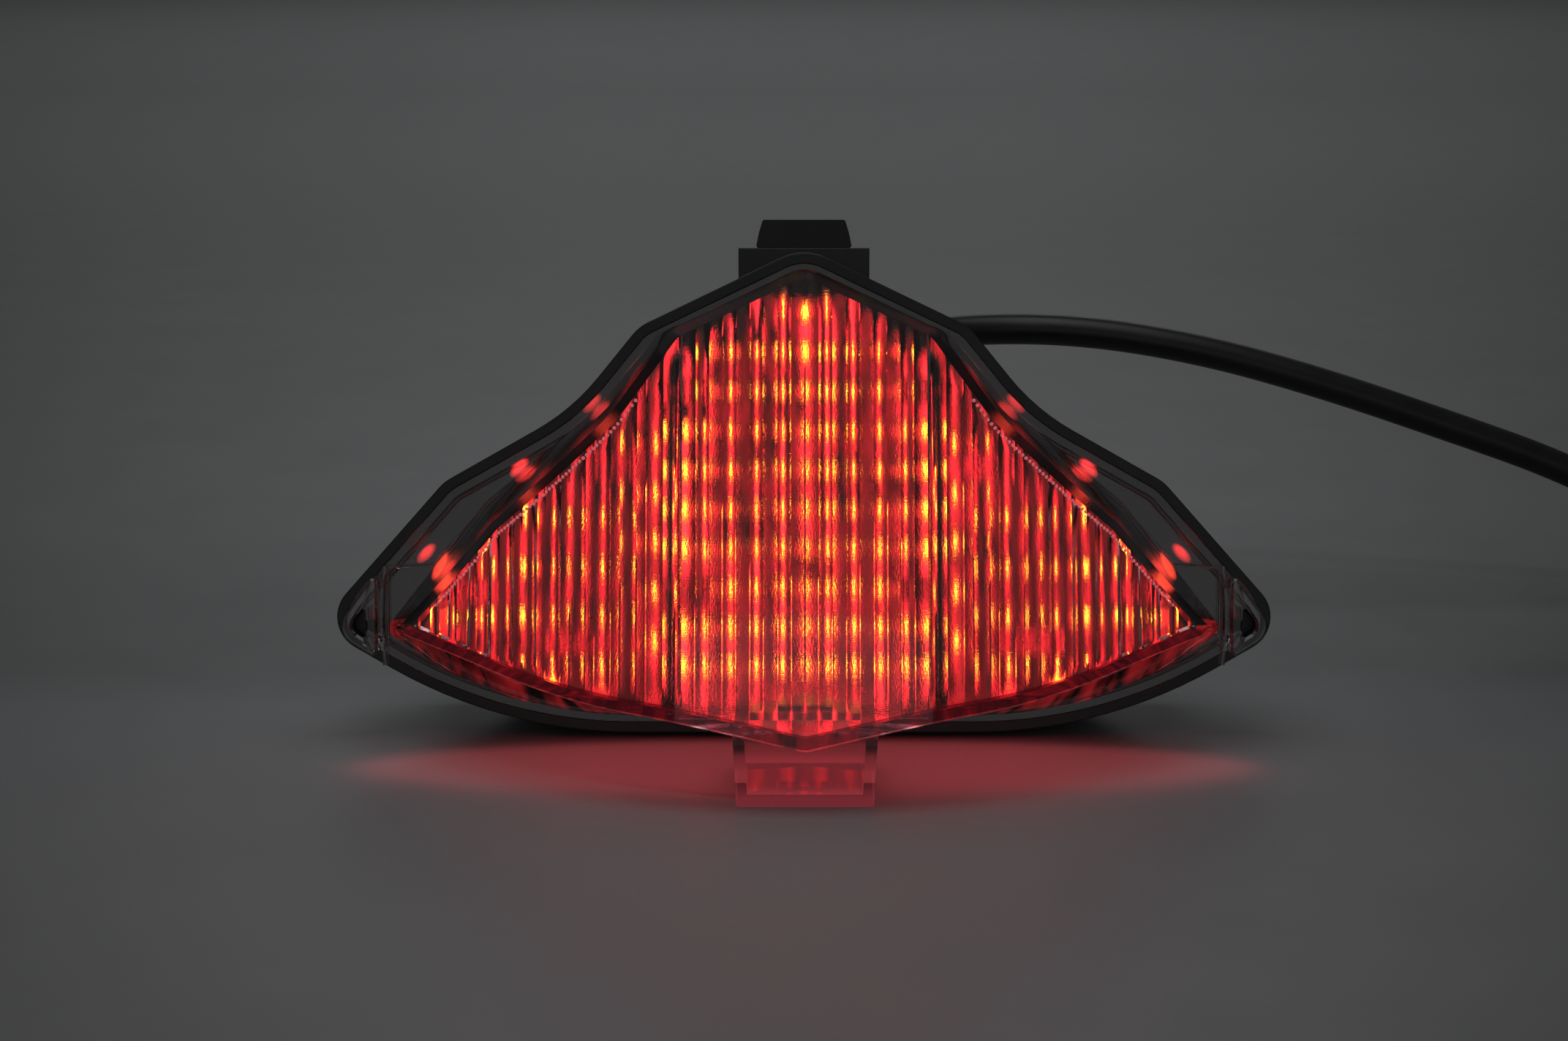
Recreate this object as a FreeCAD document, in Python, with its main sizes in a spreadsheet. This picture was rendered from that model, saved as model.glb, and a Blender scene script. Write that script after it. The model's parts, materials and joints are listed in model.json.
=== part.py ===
import FreeCAD, Part

import math
import os

# Motorcycle tail light: a clear fluted lens on a black housing, with the plate lamp window below,
# the boards and red lamps inside, and the cable with its connector.
# Lamp frame: X to the viewer's right, Z up along the rim, the lens towards -Y, the rim's front at Y = 0.
# The lamp stands leaning back on its flat underside and on the plate lamp window.

Vector = FreeCAD.Vector
document = FreeCAD.newDocument("tail_light")

SIZES = {
    "lean_angle": 10.0,
    "rest_lift": 1.39,
    "frame_shift": -6.744,
    "rim_depth": 8.0,
    "rim_border": 2.4,
    "recess_depth": 3.4,
    "gasket_thick": 0.8,
    "gasket_width": 2.6,
    "flange_thick": 2.6,
    "tub_depth": 28.0,
    "tub_wall": 2.4,
    "pod_depth": 55.0,
    "pod_wall": 2.4,
    "face_radius": 130.0,
    "face_tip_depth": 52.5,
    "face_rake": 11.3,
    "ear_height": 7.0,
    "ear_wall": 2.4,
    "ear_floor": 3.4,
    "ear_start": 96.0,
    "window_half_top": 15.6,
    "window_half_bottom": 14.7,
    "window_front": 48.6,
    "window_back": 22.0,
    "window_wall": 2.3,
    "window_height": 18.0,
    "tab_step_half": 14.8,
    "tab_step_top": 109.8,
    "tab_step_bottom": 94.0,
    "tab_front": 3.4,
    "tab_length": 12.6,
    "tongue_inset": 3.0,
    "tab_half": 7.4,
    "tab_top": 115.0,
    "insert_spacing": 60.0,
    "insert_height": 48.0,
    "insert_radius": 4.0,
    "insert_length": 12.0,
    "insert_thread": 2.5,
    "boss_radius": 6.5,
    "boss_start": 16.0,
    "boss_end": 31.0,
    "board_thick": 1.6,
    "centre_board_front": 8.0,
    "wing_board_front": 1.0,
    "led_radius": 2.5,
    "led_collar": 2.9,
    "led_length": 8.6,
    "reflector_thick": 1.0,
    "reflector_gap": 2.0,
    "reflector_foot": 1.2,
    "bracket_half": 6.0,
    "bracket_thick": 1.0,
    "bracket_flange": 3.0,
    "bracket_end": 40.0,
    "bracket_slot_gap": 0.5,
    "plate_board_half": 12.0,
    "plate_board_back": 24.0,
    "plate_board_front": 44.0,
    "plate_board_up": 8.4,
    "plate_lamp_half": 1.75,
    "plate_lamp_pitch": 8.0,
    "plate_lamp_high": 1.4,
    "plate_lamp_front": 36.0,
    "plate_lamp_deep": 2.8,
    "axial_stand_off": 2.0,
    "axial_lead": 0.3,
    "axial_leg": 0.45,
    "resistor_radius": 1.2,
    "resistor_length": 6.5,
    "diode_radius": 1.35,
    "diode_length": 5.0,
    "header_half": 6.0,
    "header_deep": 7.0,
    "header_up": 58.0,
    "header_high": 5.0,
    "post_radius": 3.2,
    "screw_radius": 1.5,
    "screw_head": 2.9,
    "screw_head_high": 2.0,
    "board_screw_length": 9.0,
    "lens_screw_length": 8.3,
    "cable_radius": 4.0,
    "cable_hole_x": 8.0,
    "cable_hole_up": 84.0,
    "grommet_end": 50.0,
    "grommet_neck": 5.4,
    "grommet_flange": 8.0,
    "grommet_flange_thick": 2.0,
    "relief_radius": 7.0,
    "relief_wall": 1.0,
    "vent_x": -16.0,
    "vent_up": 74.0,
    "vent_cap_radius": 6.0,
    "vent_cap_high": 4.5,
    "vent_neck": 2.6,
    "vent_bore": 1.4,
    "wire_radius": 0.8,
    "plug_half": 9.0,
    "plug_height": 12.0,
    "plug_length": 26.0,
    "way_pitch": 4.0,
    "way_radius": 1.2,
    "way_length": 14.0,
    "terminal_radius": 1.18,
    "terminal_bore": 0.6,
    "terminal_length": 12.0,
    "lock_half": 7.0,
    "lock_length": 6.0,
    "lock_top": 10.4,
    "lock_high": 1.8,
    "boot_length": 16.0,
    "latch_pin": 1.0,
    "latch_clearance": 0.05,
}

# Corners of the right half of each outline, from the bottom to the top: across, up, corner radius.
RIM = [(68.1, 0.0, 110.0), (110.3, 24.3, 8.0), (81.4, 57.0, 10.0),
       (52.4, 73.4, 50.0), (37.2, 92.1, 10.0), (0.0, 110.0, 12.0)]
TUB = [(58.0, 1.0, 50.0), (93.0, 29.0, 8.0), (75.0, 50.0, 10.0),
       (47.0, 67.0, 35.0), (32.5, 86.5, 8.0), (0.0, 101.5, 10.0)]
POD_ROOT = [(0.0, 3.2, 20.0), (66.0, 4.4, 90.0), (95.2, 23.2, 2.5), (72.5, 52.0, 12.0),
            (46.5, 74.0, 45.0), (32.5, 91.0, 7.0), (0.0, 106.0, 8.0)]
POD_FRONT = [(0.0, 2.5, 5.0), (45.7, 13.3, 90.0), (75.2, 29.0, 2.0), (63.3, 46.3, 12.0),
             (39.8, 72.2, 40.0), (26.0, 92.8, 6.0), (0.0, 105.5, 7.0)]
CENTRE_BOARD = [(28.0, 10.0, 2.0), (28.0, 85.0, 2.0), (9.5, 99.0, 3.0)]
WING_BOARD = [(29.0, 9.5, 1.5), (60.0, 10.5, 4.0), (87.5, 23.5, 2.0), (68.5, 46.5, 6.0),
              (45.0, 67.5, 6.0), (33.5, 82.0, 3.0), (29.0, 82.0, 1.5)]
CENTRE_REFLECTOR = [(0.0, 6.3, 10.0), (27.0, 8.1, 2.0), (27.0, 84.5, 1.5), (9.2, 98.0, 2.5)]
WING_REFLECTOR = [(30.0, 7.3, 1.5), (47.0, 8.5, 20.0), (61.0, 12.0, 8.0), (85.7, 23.7, 2.0),
                  (67.8, 45.9, 5.0), (44.4, 66.8, 5.0), (33.0, 81.0, 2.0), (30.0, 81.0, 1.0)]

# Lamp grids: first place, pitch and count. The wing's first column stands half a pitch higher.
LED_COLUMNS_CENTRE = (-24.5, 7.0, 8)
LED_ROWS_CENTRE = (16.2, 8.8, 10)
LED_COLUMNS_WING = (34.0, 11.2, 5)
LED_ROWS_WING = (15.5, 11.2, 6)

BOARD_SCREWS_CENTRE = [(-24.5, 33.8), (24.5, 33.8), (-24.5, 77.8), (24.5, 77.8)]
BOARD_SCREWS_WING = [(50.8, 21.1), (39.6, 60.3), (73.2, 32.3)]
REFLECTOR_FEET_CENTRE = [(-14.0, 20.6), (14.0, 20.6), (-14.0, 73.4), (14.0, 73.4)]
REFLECTOR_FEET_WING = [(62.0, 21.1), (50.8, 43.5), (62.0, 32.3)]
EAR_SCREW = (97.4, 24.6)

# What is cut away below the plane that the lamp stands on: length, width, height.
FLOOR_BLOCK = (240.0, 120.0, 30.0)

# The cable's corner points in the standing lamp's frame, from the grommet to the connector boot.
CABLE_EXIT_RUN = 26.0
CABLE_POINTS = [
    (21.0, 105.3, 70.2),
    (43.5, 118.3, 70.9),
    (73.0, 119.5, 70.2),
    (104.0, 118.5, 65.2),
    (135.0, 117.0, 56.6),
    (166.0, 115.5, 46.2),
    (196.0, 114.0, 35.8),
    (224.0, 112.0, 22.0),
    (248.0, 108.0, 9.5),
    (272.0, 102.0, 4.0),
    (292.0, 86.6, 4.0),
    (303.0, 64.1, 6.0),
    (303.0, 40.0, 6.0),
]

TO_FRONT_PLANE = FreeCAD.Rotation(Vector(1, 0, 0), 90)


# ---------------------------------------------------------------- the sheet and small helpers

def make_sheet():
    sheet = document.addObject("Spreadsheet::Sheet", "Sizes")
    for row, (name, value) in enumerate(SIZES.items(), start=1):
        sheet.set(f"A{row}", name)
        sheet.set(f"B{row}", str(value))
        sheet.setAlias(f"B{row}", name)
    document.recompute()
    return sheet


sheet = make_sheet()


def size(name):
    return float(sheet.get(name))


def bind(item, **expressions):
    for name, expression in expressions.items():
        item.setExpression(name.replace("__", "."), expression)


def leaning():
    """Placement that stands the lamp on its underside, leaning back."""
    turn = FreeCAD.Rotation(Vector(1, 0, 0), -size("lean_angle"))
    return FreeCAD.Placement(Vector(0, size("frame_shift"), size("rest_lift")), turn)


def shift():
    """Placement of the pieces that are drawn upright."""
    return FreeCAD.Placement(Vector(0, size("frame_shift"), 0), FreeCAD.Rotation())


def whole(half):
    """All corners of an outline, from its right half."""
    mirrored = [(-x, up, radius) for x, up, radius in reversed(half) if x > 0]
    return half + mirrored


def mirrored(corners):
    return [(-x, up, radius) for x, up, radius in reversed(corners)]


def inset(corners, distance):
    """The same outline moved inwards by a distance, for corners listed anticlockwise."""
    count = len(corners)
    lines = []
    for index in range(count):
        x1, z1, _ = corners[index]
        x2, z2, _ = corners[(index + 1) % count]
        length = math.hypot(x2 - x1, z2 - z1)
        along = ((x2 - x1) / length, (z2 - z1) / length)
        base = (x1 - along[1] * distance, z1 + along[0] * distance)
        lines.append((base, along))
    moved = []
    for index in range(count):
        (ax, az), (adx, adz) = lines[index - 1]
        (bx, bz), (bdx, bdz) = lines[index]
        cross = adx * bdz - adz * bdx
        step = ((bx - ax) * bdz - (bz - az) * bdx) / cross
        radius = corners[index][2]
        radius = radius - distance if cross > 0 else radius + distance
        moved.append((ax + adx * step, az + adz * step, max(radius, 0.6)))
    return moved


def outline_edges(corners):
    """Lines and tangent arcs of a closed outline in the XY plane."""
    arcs = []
    count = len(corners)
    for index in range(count):
        here = Vector(corners[index][0], corners[index][1], 0)
        before = Vector(*corners[index - 1][:2], 0)
        after = Vector(*corners[(index + 1) % count][:2], 0)
        back = (before - here).normalize()
        ahead = (after - here).normalize()
        half = back.getAngle(ahead) / 2
        reach = corners[index][2] / math.tan(half)
        start = here + back * reach
        end = here + ahead * reach
        inward = (back + ahead).normalize()
        middle = here + inward * (corners[index][2] / math.sin(half) - corners[index][2])
        arcs.append(Part.Arc(start, middle, end))
    edges = []
    for index, arc in enumerate(arcs):
        edges.append(arc)
        following = arcs[(index + 1) % count]
        edges.append(Part.LineSegment(arc.EndPoint, following.StartPoint))
    return edges


def face_of(corners, depth=0.0):
    """The outline as a face across the lamp frame, at a depth towards the lens."""
    wire = Part.Wire([edge.toShape() for edge in outline_edges(corners)])
    face = Part.Face(wire)
    face.Placement = FreeCAD.Placement(Vector(0, -depth, 0), TO_FRONT_PLANE)
    return face


def plate(corners, back, front):
    """A plate of that outline between two depths, which grow towards the lens."""
    return face_of(corners, back).extrude(Vector(0, back - front, 0))


def rod(radius, x, up, back, front):
    """A cylinder along the lamp's depth."""
    return Part.makeCylinder(radius, front - back, Vector(x, -back, up), Vector(0, -1, 0))


def box(x1, x2, y1, y2, z1, z2):
    return Part.makeBox(x2 - x1, y2 - y1, z2 - z1, Vector(x1, y1, z1))


def fuse_all(shapes):
    return shapes[0].multiFuse(shapes[1:]).removeSplitter()


def feature(name, shape, placement):
    """A sub-part whose shape is worked out here from the sheet's sizes."""
    item = document.addObject("Part::Feature", name)
    item.Shape = shape
    item.Placement = placement
    item.Label = name
    return item


def body_named(name):
    body = document.addObject("PartDesign::Body", name)
    body.Label = name
    return body


def plane(body, role):
    return next(item for item in body.Origin.OriginFeatures if item.Role == role)


def sketch_in(body, name, edges, role="XZ_Plane", offset="0"):
    sketch = body.newObject("Sketcher::SketchObject", name)
    sketch.AttachmentSupport = [(plane(body, role), "")]
    sketch.MapMode = "FlatFace"
    sketch.setExpression("AttachmentOffset.Base.z", offset)
    for edge in edges:
        sketch.addGeometry(edge, False)
    return sketch


def circle(x, up, radius):
    return Part.Circle(Vector(x, up, 0), Vector(0, 0, 1), radius)


def grow(body, kind, sketch, length, reverse):
    """A pad or pocket of a sketch, with its length from the sheet."""
    item = body.newObject(f"PartDesign::{kind}", f"{sketch.Name}_{kind}")
    item.Profile = sketch
    item.Reversed = reverse
    item.setExpression("Length", length)
    sketch.Visibility = False
    return item


def pad_back(body, sketch, length):
    return grow(body, "Pad", sketch, length, True)


def pad_front(body, sketch, length):
    return grow(body, "Pad", sketch, length, False)


def cut_back(body, sketch, length):
    return grow(body, "Pocket", sketch, length, False)


def combine(kind, name, base, tool):
    item = document.addObject(f"Part::{kind}", name)
    item.Base = base
    item.Tool = tool
    return item


# ---------------------------------------------------------------- casing

def wing_screws():
    """Screw places on both wings."""
    return [(side * x, up) for side in (-1, 1) for x, up in BOARD_SCREWS_WING]


def make_rear_housing():
    """Black shell: the rim that frames the lens, the tub behind it, the top tab, bosses and posts."""
    body = body_named("housing_shell")
    pad_back(body, sketch_in(body, "rim", outline_edges(whole(RIM))), "Sizes.rim_depth")
    pad_back(body, sketch_in(body, "tub", outline_edges(whole(TUB))), "Sizes.tub_depth")
    recess = outline_edges(inset(whole(RIM), size("rim_border")))
    cut_back(body, sketch_in(body, "recess", recess), "Sizes.recess_depth")
    hollow = outline_edges(inset(whole(TUB), size("tub_wall")))
    cut_back(body, sketch_in(body, "hollow", hollow), "Sizes.tub_depth - Sizes.tub_wall")
    add_top_tab(body)
    add_insert_bosses(body)
    add_board_posts(body)
    holes = [circle(size("cable_hole_x"), size("cable_hole_up"), size("grommet_neck")),
             circle(size("vent_x"), size("vent_up"), size("vent_neck"))]
    cut_back(body, sketch_in(body, "wall_holes", holes), "Sizes.tub_depth + 1")
    ear_holes = [circle(side * EAR_SCREW[0], EAR_SCREW[1], size("screw_radius") + 0.2)
                 for side in (-1, 1)]
    cut_back(body, sketch_in(body, "ear_holes", ear_holes), "Sizes.rim_depth + 1")
    body.Placement = leaning()
    length, width, height = FLOOR_BLOCK
    floor_block = document.addObject("Part::Box", "below_the_underside")
    bind(floor_block, Length=str(length), Width=str(width), Height=str(height))
    floor_block.Placement.Base = Vector(-length / 2, -width / 2, -height)
    housing = combine("Cut", "rear_housing", body, floor_block)
    housing.Label = "rear_housing"
    return housing


def rectangle(x1, x2, z1, z2):
    corners = [Vector(x1, z1, 0), Vector(x2, z1, 0), Vector(x2, z2, 0), Vector(x1, z2, 0)]
    return [Part.LineSegment(corners[index - 1], corners[index]) for index in range(4)]


def add_top_tab(body):
    """The step behind the apex, and the tongue that the rubber cushion sits on."""
    half = size("tab_step_half")
    step = rectangle(-half, half, size("tab_step_bottom"), size("tab_step_top"))
    pad_back(body, sketch_in(body, "tab_step", step, offset="-Sizes.tab_front"), "Sizes.tab_length")
    half = size("tab_half")
    tongue = rectangle(-half, half, size("tab_step_top") - 2, size("tab_top"))
    offset = "-Sizes.tab_front - Sizes.tongue_inset"
    pad_back(body, sketch_in(body, "tongue", tongue, offset=offset),
             "Sizes.tab_length - 2 * Sizes.tongue_inset")


def add_insert_bosses(body):
    """Two bosses through the back wall, with blind bores for the brass inserts."""
    places = [(side * size("insert_spacing") / 2, size("insert_height")) for side in (-1, 1)]
    rings = [circle(x, up, size("boss_radius")) for x, up in places]
    pad_back(body, sketch_in(body, "bosses", rings, offset="-Sizes.boss_start"),
             "Sizes.boss_end - Sizes.boss_start")
    bores = [circle(x, up, size("insert_radius")) for x, up in places]
    sketch = sketch_in(body, "insert_bores", bores, offset="-Sizes.boss_end")
    grow(body, "Pocket", sketch, "Sizes.insert_length", True)


def add_board_posts(body):
    """Posts from the back wall to the boards, each with a pilot hole for its screw."""
    groups = {"centre": (BOARD_SCREWS_CENTRE, "Sizes.centre_board_front - Sizes.board_thick"),
              "wing": (wing_screws(), "Sizes.wing_board_front - Sizes.board_thick")}
    for name, (places, top) in groups.items():
        rings = [circle(x, up, size("post_radius")) for x, up in places]
        sketch = sketch_in(body, f"{name}_posts", rings, offset=top)
        pad_back(body, sketch, f"Sizes.tub_depth - 1 + {top}")
        pilots = [circle(x, up, size("screw_radius")) for x, up in places]
        cut_back(body, sketch_in(body, f"{name}_pilots", pilots, offset=top),
                 "Sizes.board_screw_length")


def make_lens_gasket():
    """Rubber ring between the lens flange and the floor of the rim's recess."""
    body = body_named("lens_gasket")
    outer = inset(whole(RIM), size("rim_border") + 0.1)
    ring = outline_edges(outer) + outline_edges(inset(outer, size("gasket_width")))
    sketch = sketch_in(body, "gasket_ring", ring, offset="-Sizes.recess_depth")
    pad_front(body, sketch, "Sizes.gasket_thick")
    body.Placement = leaning()


def section(name, corners, depth):
    """A free sketch across the lamp frame, at a depth towards the lens."""
    sketch = document.addObject("Sketcher::SketchObject", name)
    for edge in outline_edges(corners):
        sketch.addGeometry(edge, False)
    sketch.Placement = FreeCAD.Placement(Vector(0, 0, 0), TO_FRONT_PLANE)
    sketch.setExpression("Placement.Base.y", f"-({depth})")
    return sketch


def face_cylinder(name, wall):
    """The raked cylinder whose front is the lens face, less a wall."""
    cylinder = document.addObject("Part::Cylinder", name)
    bind(cylinder, Radius=f"Sizes.face_radius - {wall}", Height="260")
    rake = math.radians(size("face_rake"))
    tip = Vector(0, -size("face_tip_depth"), POD_FRONT[0][1])
    outward = Vector(0, -math.cos(rake), math.sin(rake))
    along = Vector(0, math.sin(rake), math.cos(rake))
    base = tip - outward * size("face_radius") - along * 60
    cylinder.Placement = FreeCAD.Placement(base, FreeCAD.Rotation(Vector(1, 0, 0), -size("face_rake")))
    return cylinder


def pod(name, wall, back):
    """The tapered pod cut by the face cylinder: the outside with no wall, the hollow with one."""
    loft = document.addObject("Part::Loft", f"{name}_sides")
    root = POD_ROOT if wall == 0 else inset(whole(POD_ROOT), wall)
    front = POD_FRONT if wall == 0 else inset(whole(POD_FRONT), wall)
    if wall == 0:
        root, front = whole(root), whole(front)
    loft.Sections = [section(f"{name}_root", root, back),
                     section(f"{name}_front", front, "Sizes.pod_depth")]
    loft.Solid = True
    loft.Ruled = True
    common = combine("Common", name, loft, face_cylinder(f"{name}_face", wall))
    return common


def make_outer_lens():
    """Clear lens: the flange in the rim, the hollow pod in front of it and a cup at each ear."""
    flange = body_named("lens_flange")
    edges = outline_edges(inset(whole(RIM), size("rim_border") + 0.1))
    pad_front(flange, sketch_in(flange, "flange", edges, offset="-Sizes.flange_thick"),
              "Sizes.flange_thick")
    outside = pod("pod_outside", 0, "0")
    hollow = pod("pod_hollow", size("pod_wall"), "-Sizes.flange_thick")
    cups, pockets = ear_cups()
    joined = document.addObject("Part::MultiFuse", "lens_solid")
    joined.Shapes = [flange, outside, cups]
    opened = combine("Cut", "lens_opened", joined, hollow)
    lens = combine("Cut", "outer_lens", opened, pockets)
    lens.Label = "outer_lens"
    lens.Placement = leaning()
    return outside


def ear_cups():
    """The two raised cups at the ends of the flange, and their three-cornered pockets."""
    outer = inset(whole(RIM), size("rim_border") + 0.1)
    solid = plate(outer, 0, size("ear_height"))
    inner = plate(inset(outer, size("ear_wall")), size("ear_floor") - size("flange_thick"),
                  size("ear_height") + 1)
    start = size("ear_start")
    cups, pockets = [], []
    for side in (-1, 1):
        low, high = sorted((side * start, side * 120))
        cups.append(solid.common(box(low, high, -30, 5, -5, 60)))
        low, high = sorted((side * (start + size("ear_wall")), side * 120))
        pockets.append(inner.common(box(low, high, -30, 5, -5, 60)))
    screws = [rod(size("screw_radius"), side * EAR_SCREW[0], EAR_SCREW[1], -size("flange_thick"), 0.5)
              for side in (-1, 1)]
    cups_item = feature("ear_cups", Part.makeCompound(cups), FreeCAD.Placement())
    pockets_item = feature("ear_pockets", Part.makeCompound(pockets + screws), FreeCAD.Placement())
    return cups_item, pockets_item


def tapered_box(half_low, half_high, front, back, high):
    """An upright box whose sides lean out towards the top."""
    def ring(half, up):
        points = [Vector(-half, -front, up), Vector(half, -front, up), Vector(half, -back, up),
                  Vector(-half, -back, up)]
        return Part.makePolygon(points + points[:1])
    return Part.makeLoft([ring(half_low, 0), ring(half_high, high)], True, True)


def make_plate_lamp_window(pod_outside):
    """Clear five-sided box under the pod that lights the number plate, and the lamp's front foot."""
    wall = size("window_wall")
    high = size("window_height")
    outer = tapered_box(size("window_half_bottom"), size("window_half_top"),
                        size("window_front"), size("window_back"), high)
    inner = tapered_box(size("window_half_bottom") - wall, size("window_half_top") - wall,
                        size("window_front") - wall, size("window_back") + wall, high)
    inner.translate(Vector(0, 0, wall))
    above = pod_outside.Shape.copy()
    above.Placement = leaning().multiply(above.Placement)
    above.translate(Vector(0, -size("frame_shift"), 0))
    shape = outer.cut(inner).cut(above)
    keep = max(shape.Solids, key=lambda solid: solid.Volume)
    feature("plate_lamp_window", keep, shift())


def make_top_cushion():
    """Rubber cushion over the tongue of the top tab."""
    step = size("tab_step_top")
    front = -size("tab_front") - 1
    corners = [(-10.9, step, 0.6), (10.9, step, 0.6), (10.2, step + 3.4, 3.0),
               (9.3, step + 6.4, 0.6), (-9.3, step + 6.4, 0.6), (-10.2, step + 3.4, 3.0)]
    block = plate(corners, front - size("tab_length") + 2, front)
    half = size("tab_half")
    tongue = box(-half, half, size("tab_front") + size("tongue_inset"),
                 size("tab_front") + size("tab_length") - size("tongue_inset"),
                 step - 1, size("tab_top"))
    feature("top_tab_cushion", block.cut(tongue), leaning())


def make_brass_inserts():
    """Threaded inserts that the lamp is bolted up by."""
    end = size("boss_end")
    solids = []
    for side in (-1, 1):
        x = side * size("insert_spacing") / 2
        body = rod(size("insert_radius"), x, size("insert_height"), -end, size("insert_length") - end)
        thread = rod(size("insert_thread"), x, size("insert_height"), -end, size("insert_length") - end)
        solids.append(body.cut(thread))
    feature("brass_inserts", Part.makeCompound(solids), leaning())


def make_vent():
    """Breather cap on the back wall and the membrane disc behind it."""
    x, up = size("vent_x"), size("vent_up")
    outside = size("tub_depth")
    wall = outside - size("tub_wall")
    top = rod(size("vent_cap_radius"), x, up, -outside - size("vent_cap_high"), -outside)
    neck = rod(size("vent_neck"), x, up, -outside, -wall)
    bore = rod(size("vent_bore"), x, up, -outside - size("vent_cap_high") + 2, -wall)
    feature("vent_cap", fuse_all([top, neck]).cut(bore), leaning())
    feature("vent_membrane", rod(size("vent_neck") + 1.9, x, up, -wall, 0.4 - wall), leaning())


# ---------------------------------------------------------------- boards and lamps

def front_screw(x, up, seat, length):
    """A screw driven from the lens side: the head in front of its seat, the shank behind it."""
    head = rod(size("screw_head"), x, up, seat, seat + size("screw_head_high"))
    return head.fuse(rod(size("screw_radius"), x, up, seat - length, seat))


def back_screw(x, up, seat, length):
    """A screw driven from behind: the head behind its seat, the shank in front of it."""
    head = rod(size("screw_head"), x, up, seat - size("screw_head_high"), seat)
    return head.fuse(rod(size("screw_radius"), x, up, seat, seat + length))


def make_screws():
    """The board screws, and the two that hold the lens by its ears."""
    length = size("board_screw_length")
    screws = [front_screw(x, up, size("centre_board_front"), length) for x, up in BOARD_SCREWS_CENTRE]
    screws += [front_screw(x, up, size("wing_board_front"), length) for x, up in wing_screws()]
    feature("board_screws", Part.makeCompound(screws), leaning())
    length = size("lens_screw_length")
    lens = [back_screw(side * EAR_SCREW[0], EAR_SCREW[1], -size("rim_depth"), length)
            for side in (-1, 1)]
    feature("lens_screws", Part.makeCompound(lens), leaning())


def make_board(name, corners, front, holes):
    """A circuit board with its screw holes."""
    body = body_named(name)
    edges = outline_edges(corners)
    edges += [circle(x, up, size("screw_radius") + 0.1) for x, up in holes]
    sketch = sketch_in(body, f"{name}_outline", edges, offset=f"{front} - Sizes.board_thick")
    pad_front(body, sketch, "Sizes.board_thick")
    body.Placement = leaning()


def inside(corners, x, up):
    """Whether a place lies inside an outline of straight sides."""
    hit = False
    for index in range(len(corners)):
        x1, z1, _ = corners[index - 1]
        x2, z2, _ = corners[index]
        if (z1 > up) != (z2 > up) and x < (x2 - x1) * (up - z1) / (z2 - z1) + x1:
            hit = not hit
    return hit


def grid(corners, columns, rows, screws, stagger=0.0):
    """Places of a lamp grid that are inside a board's outline and clear of its screws."""
    first_x, pitch_x, count_x = columns
    first_up, pitch_up, count_up = rows
    room = inset(corners, size("led_collar") + 0.3)
    clear = size("led_collar") + size("screw_head") + 0.3
    places = []
    for row in range(count_up):
        for column in range(count_x):
            x = first_x + pitch_x * column
            up = first_up + pitch_up * row + (stagger if column == 0 else 0.0)
            beside = all(math.hypot(x - sx, up - su) > clear for sx, su in screws)
            if beside and inside(room, x, up):
                places.append((x, up))
    return places


def centre_leds():
    """Places of the lamps on the centre board."""
    return grid(whole(CENTRE_BOARD), LED_COLUMNS_CENTRE, LED_ROWS_CENTRE, BOARD_SCREWS_CENTRE)


def wing_leds():
    """Places of the lamps on the right wing board."""
    return grid(WING_BOARD, LED_COLUMNS_WING, LED_ROWS_WING, BOARD_SCREWS_WING, LED_ROWS_WING[1] / 2)


def led(x, up, seat):
    """A round lamp: collar, body and domed tip."""
    radius = size("led_radius")
    top = seat + size("led_length") - radius
    dome = Part.makeSphere(radius, Vector(x, -top, up))
    parts = [rod(size("led_collar"), x, up, seat, seat + 1), rod(radius, x, up, seat, top), dome]
    return fuse_all(parts)


def reflector(corners, places, screws, feet, seat):
    """A plate with a hole for every lamp and screw, held off the board by short feet."""
    back = seat + size("reflector_gap")
    front = back + size("reflector_thick")
    shape = plate(corners, back, front)
    holes = [rod(size("led_radius") + 0.25, x, up, back - 1, front + 1) for x, up in places]
    holes += [rod(size("screw_head") + 0.3, x, up, back - 1, front + 1) for x, up in screws]
    pegs = [rod(size("reflector_foot"), x, up, seat, back) for x, up in feet]
    return fuse_all([shape.cut(Part.makeCompound(holes))] + pegs)


def make_led_groups():
    """Boards, lamps and reflectors of the centre and of both wings."""
    centre = size("centre_board_front")
    wing = size("wing_board_front")
    make_board("centre_board", whole(CENTRE_BOARD), "Sizes.centre_board_front", BOARD_SCREWS_CENTRE)
    lamps = [led(x, up, centre) for x, up in centre_leds()]
    feature("centre_leds", Part.makeCompound(lamps), leaning())
    shape = reflector(whole(CENTRE_REFLECTOR), centre_leds(), BOARD_SCREWS_CENTRE,
                      REFLECTOR_FEET_CENTRE, centre)
    feature("centre_reflector", shape.cut(bracket_slot()), leaning())
    for name, side in (("left", -1), ("right", 1)):
        corners = WING_BOARD if side > 0 else mirrored(WING_BOARD)
        plate_corners = WING_REFLECTOR if side > 0 else mirrored(WING_REFLECTOR)
        places = [(side * x, up) for x, up in wing_leds()]
        screws = [(side * x, up) for x, up in BOARD_SCREWS_WING]
        feet = [(side * x, up) for x, up in REFLECTOR_FEET_WING]
        make_board(f"{name}_wing_board", corners, "Sizes.wing_board_front", screws)
        lamps = [led(x, up, wing) for x, up in places]
        feature(f"{name}_wing_leds", Part.makeCompound(lamps), leaning())
        shape = reflector(plate_corners, places, screws, feet, wing)
        feature(f"{name}_wing_reflector", shape, leaning())


def board_back():
    """The back face of the centre board."""
    return size("board_thick") - size("centre_board_front")


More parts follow.
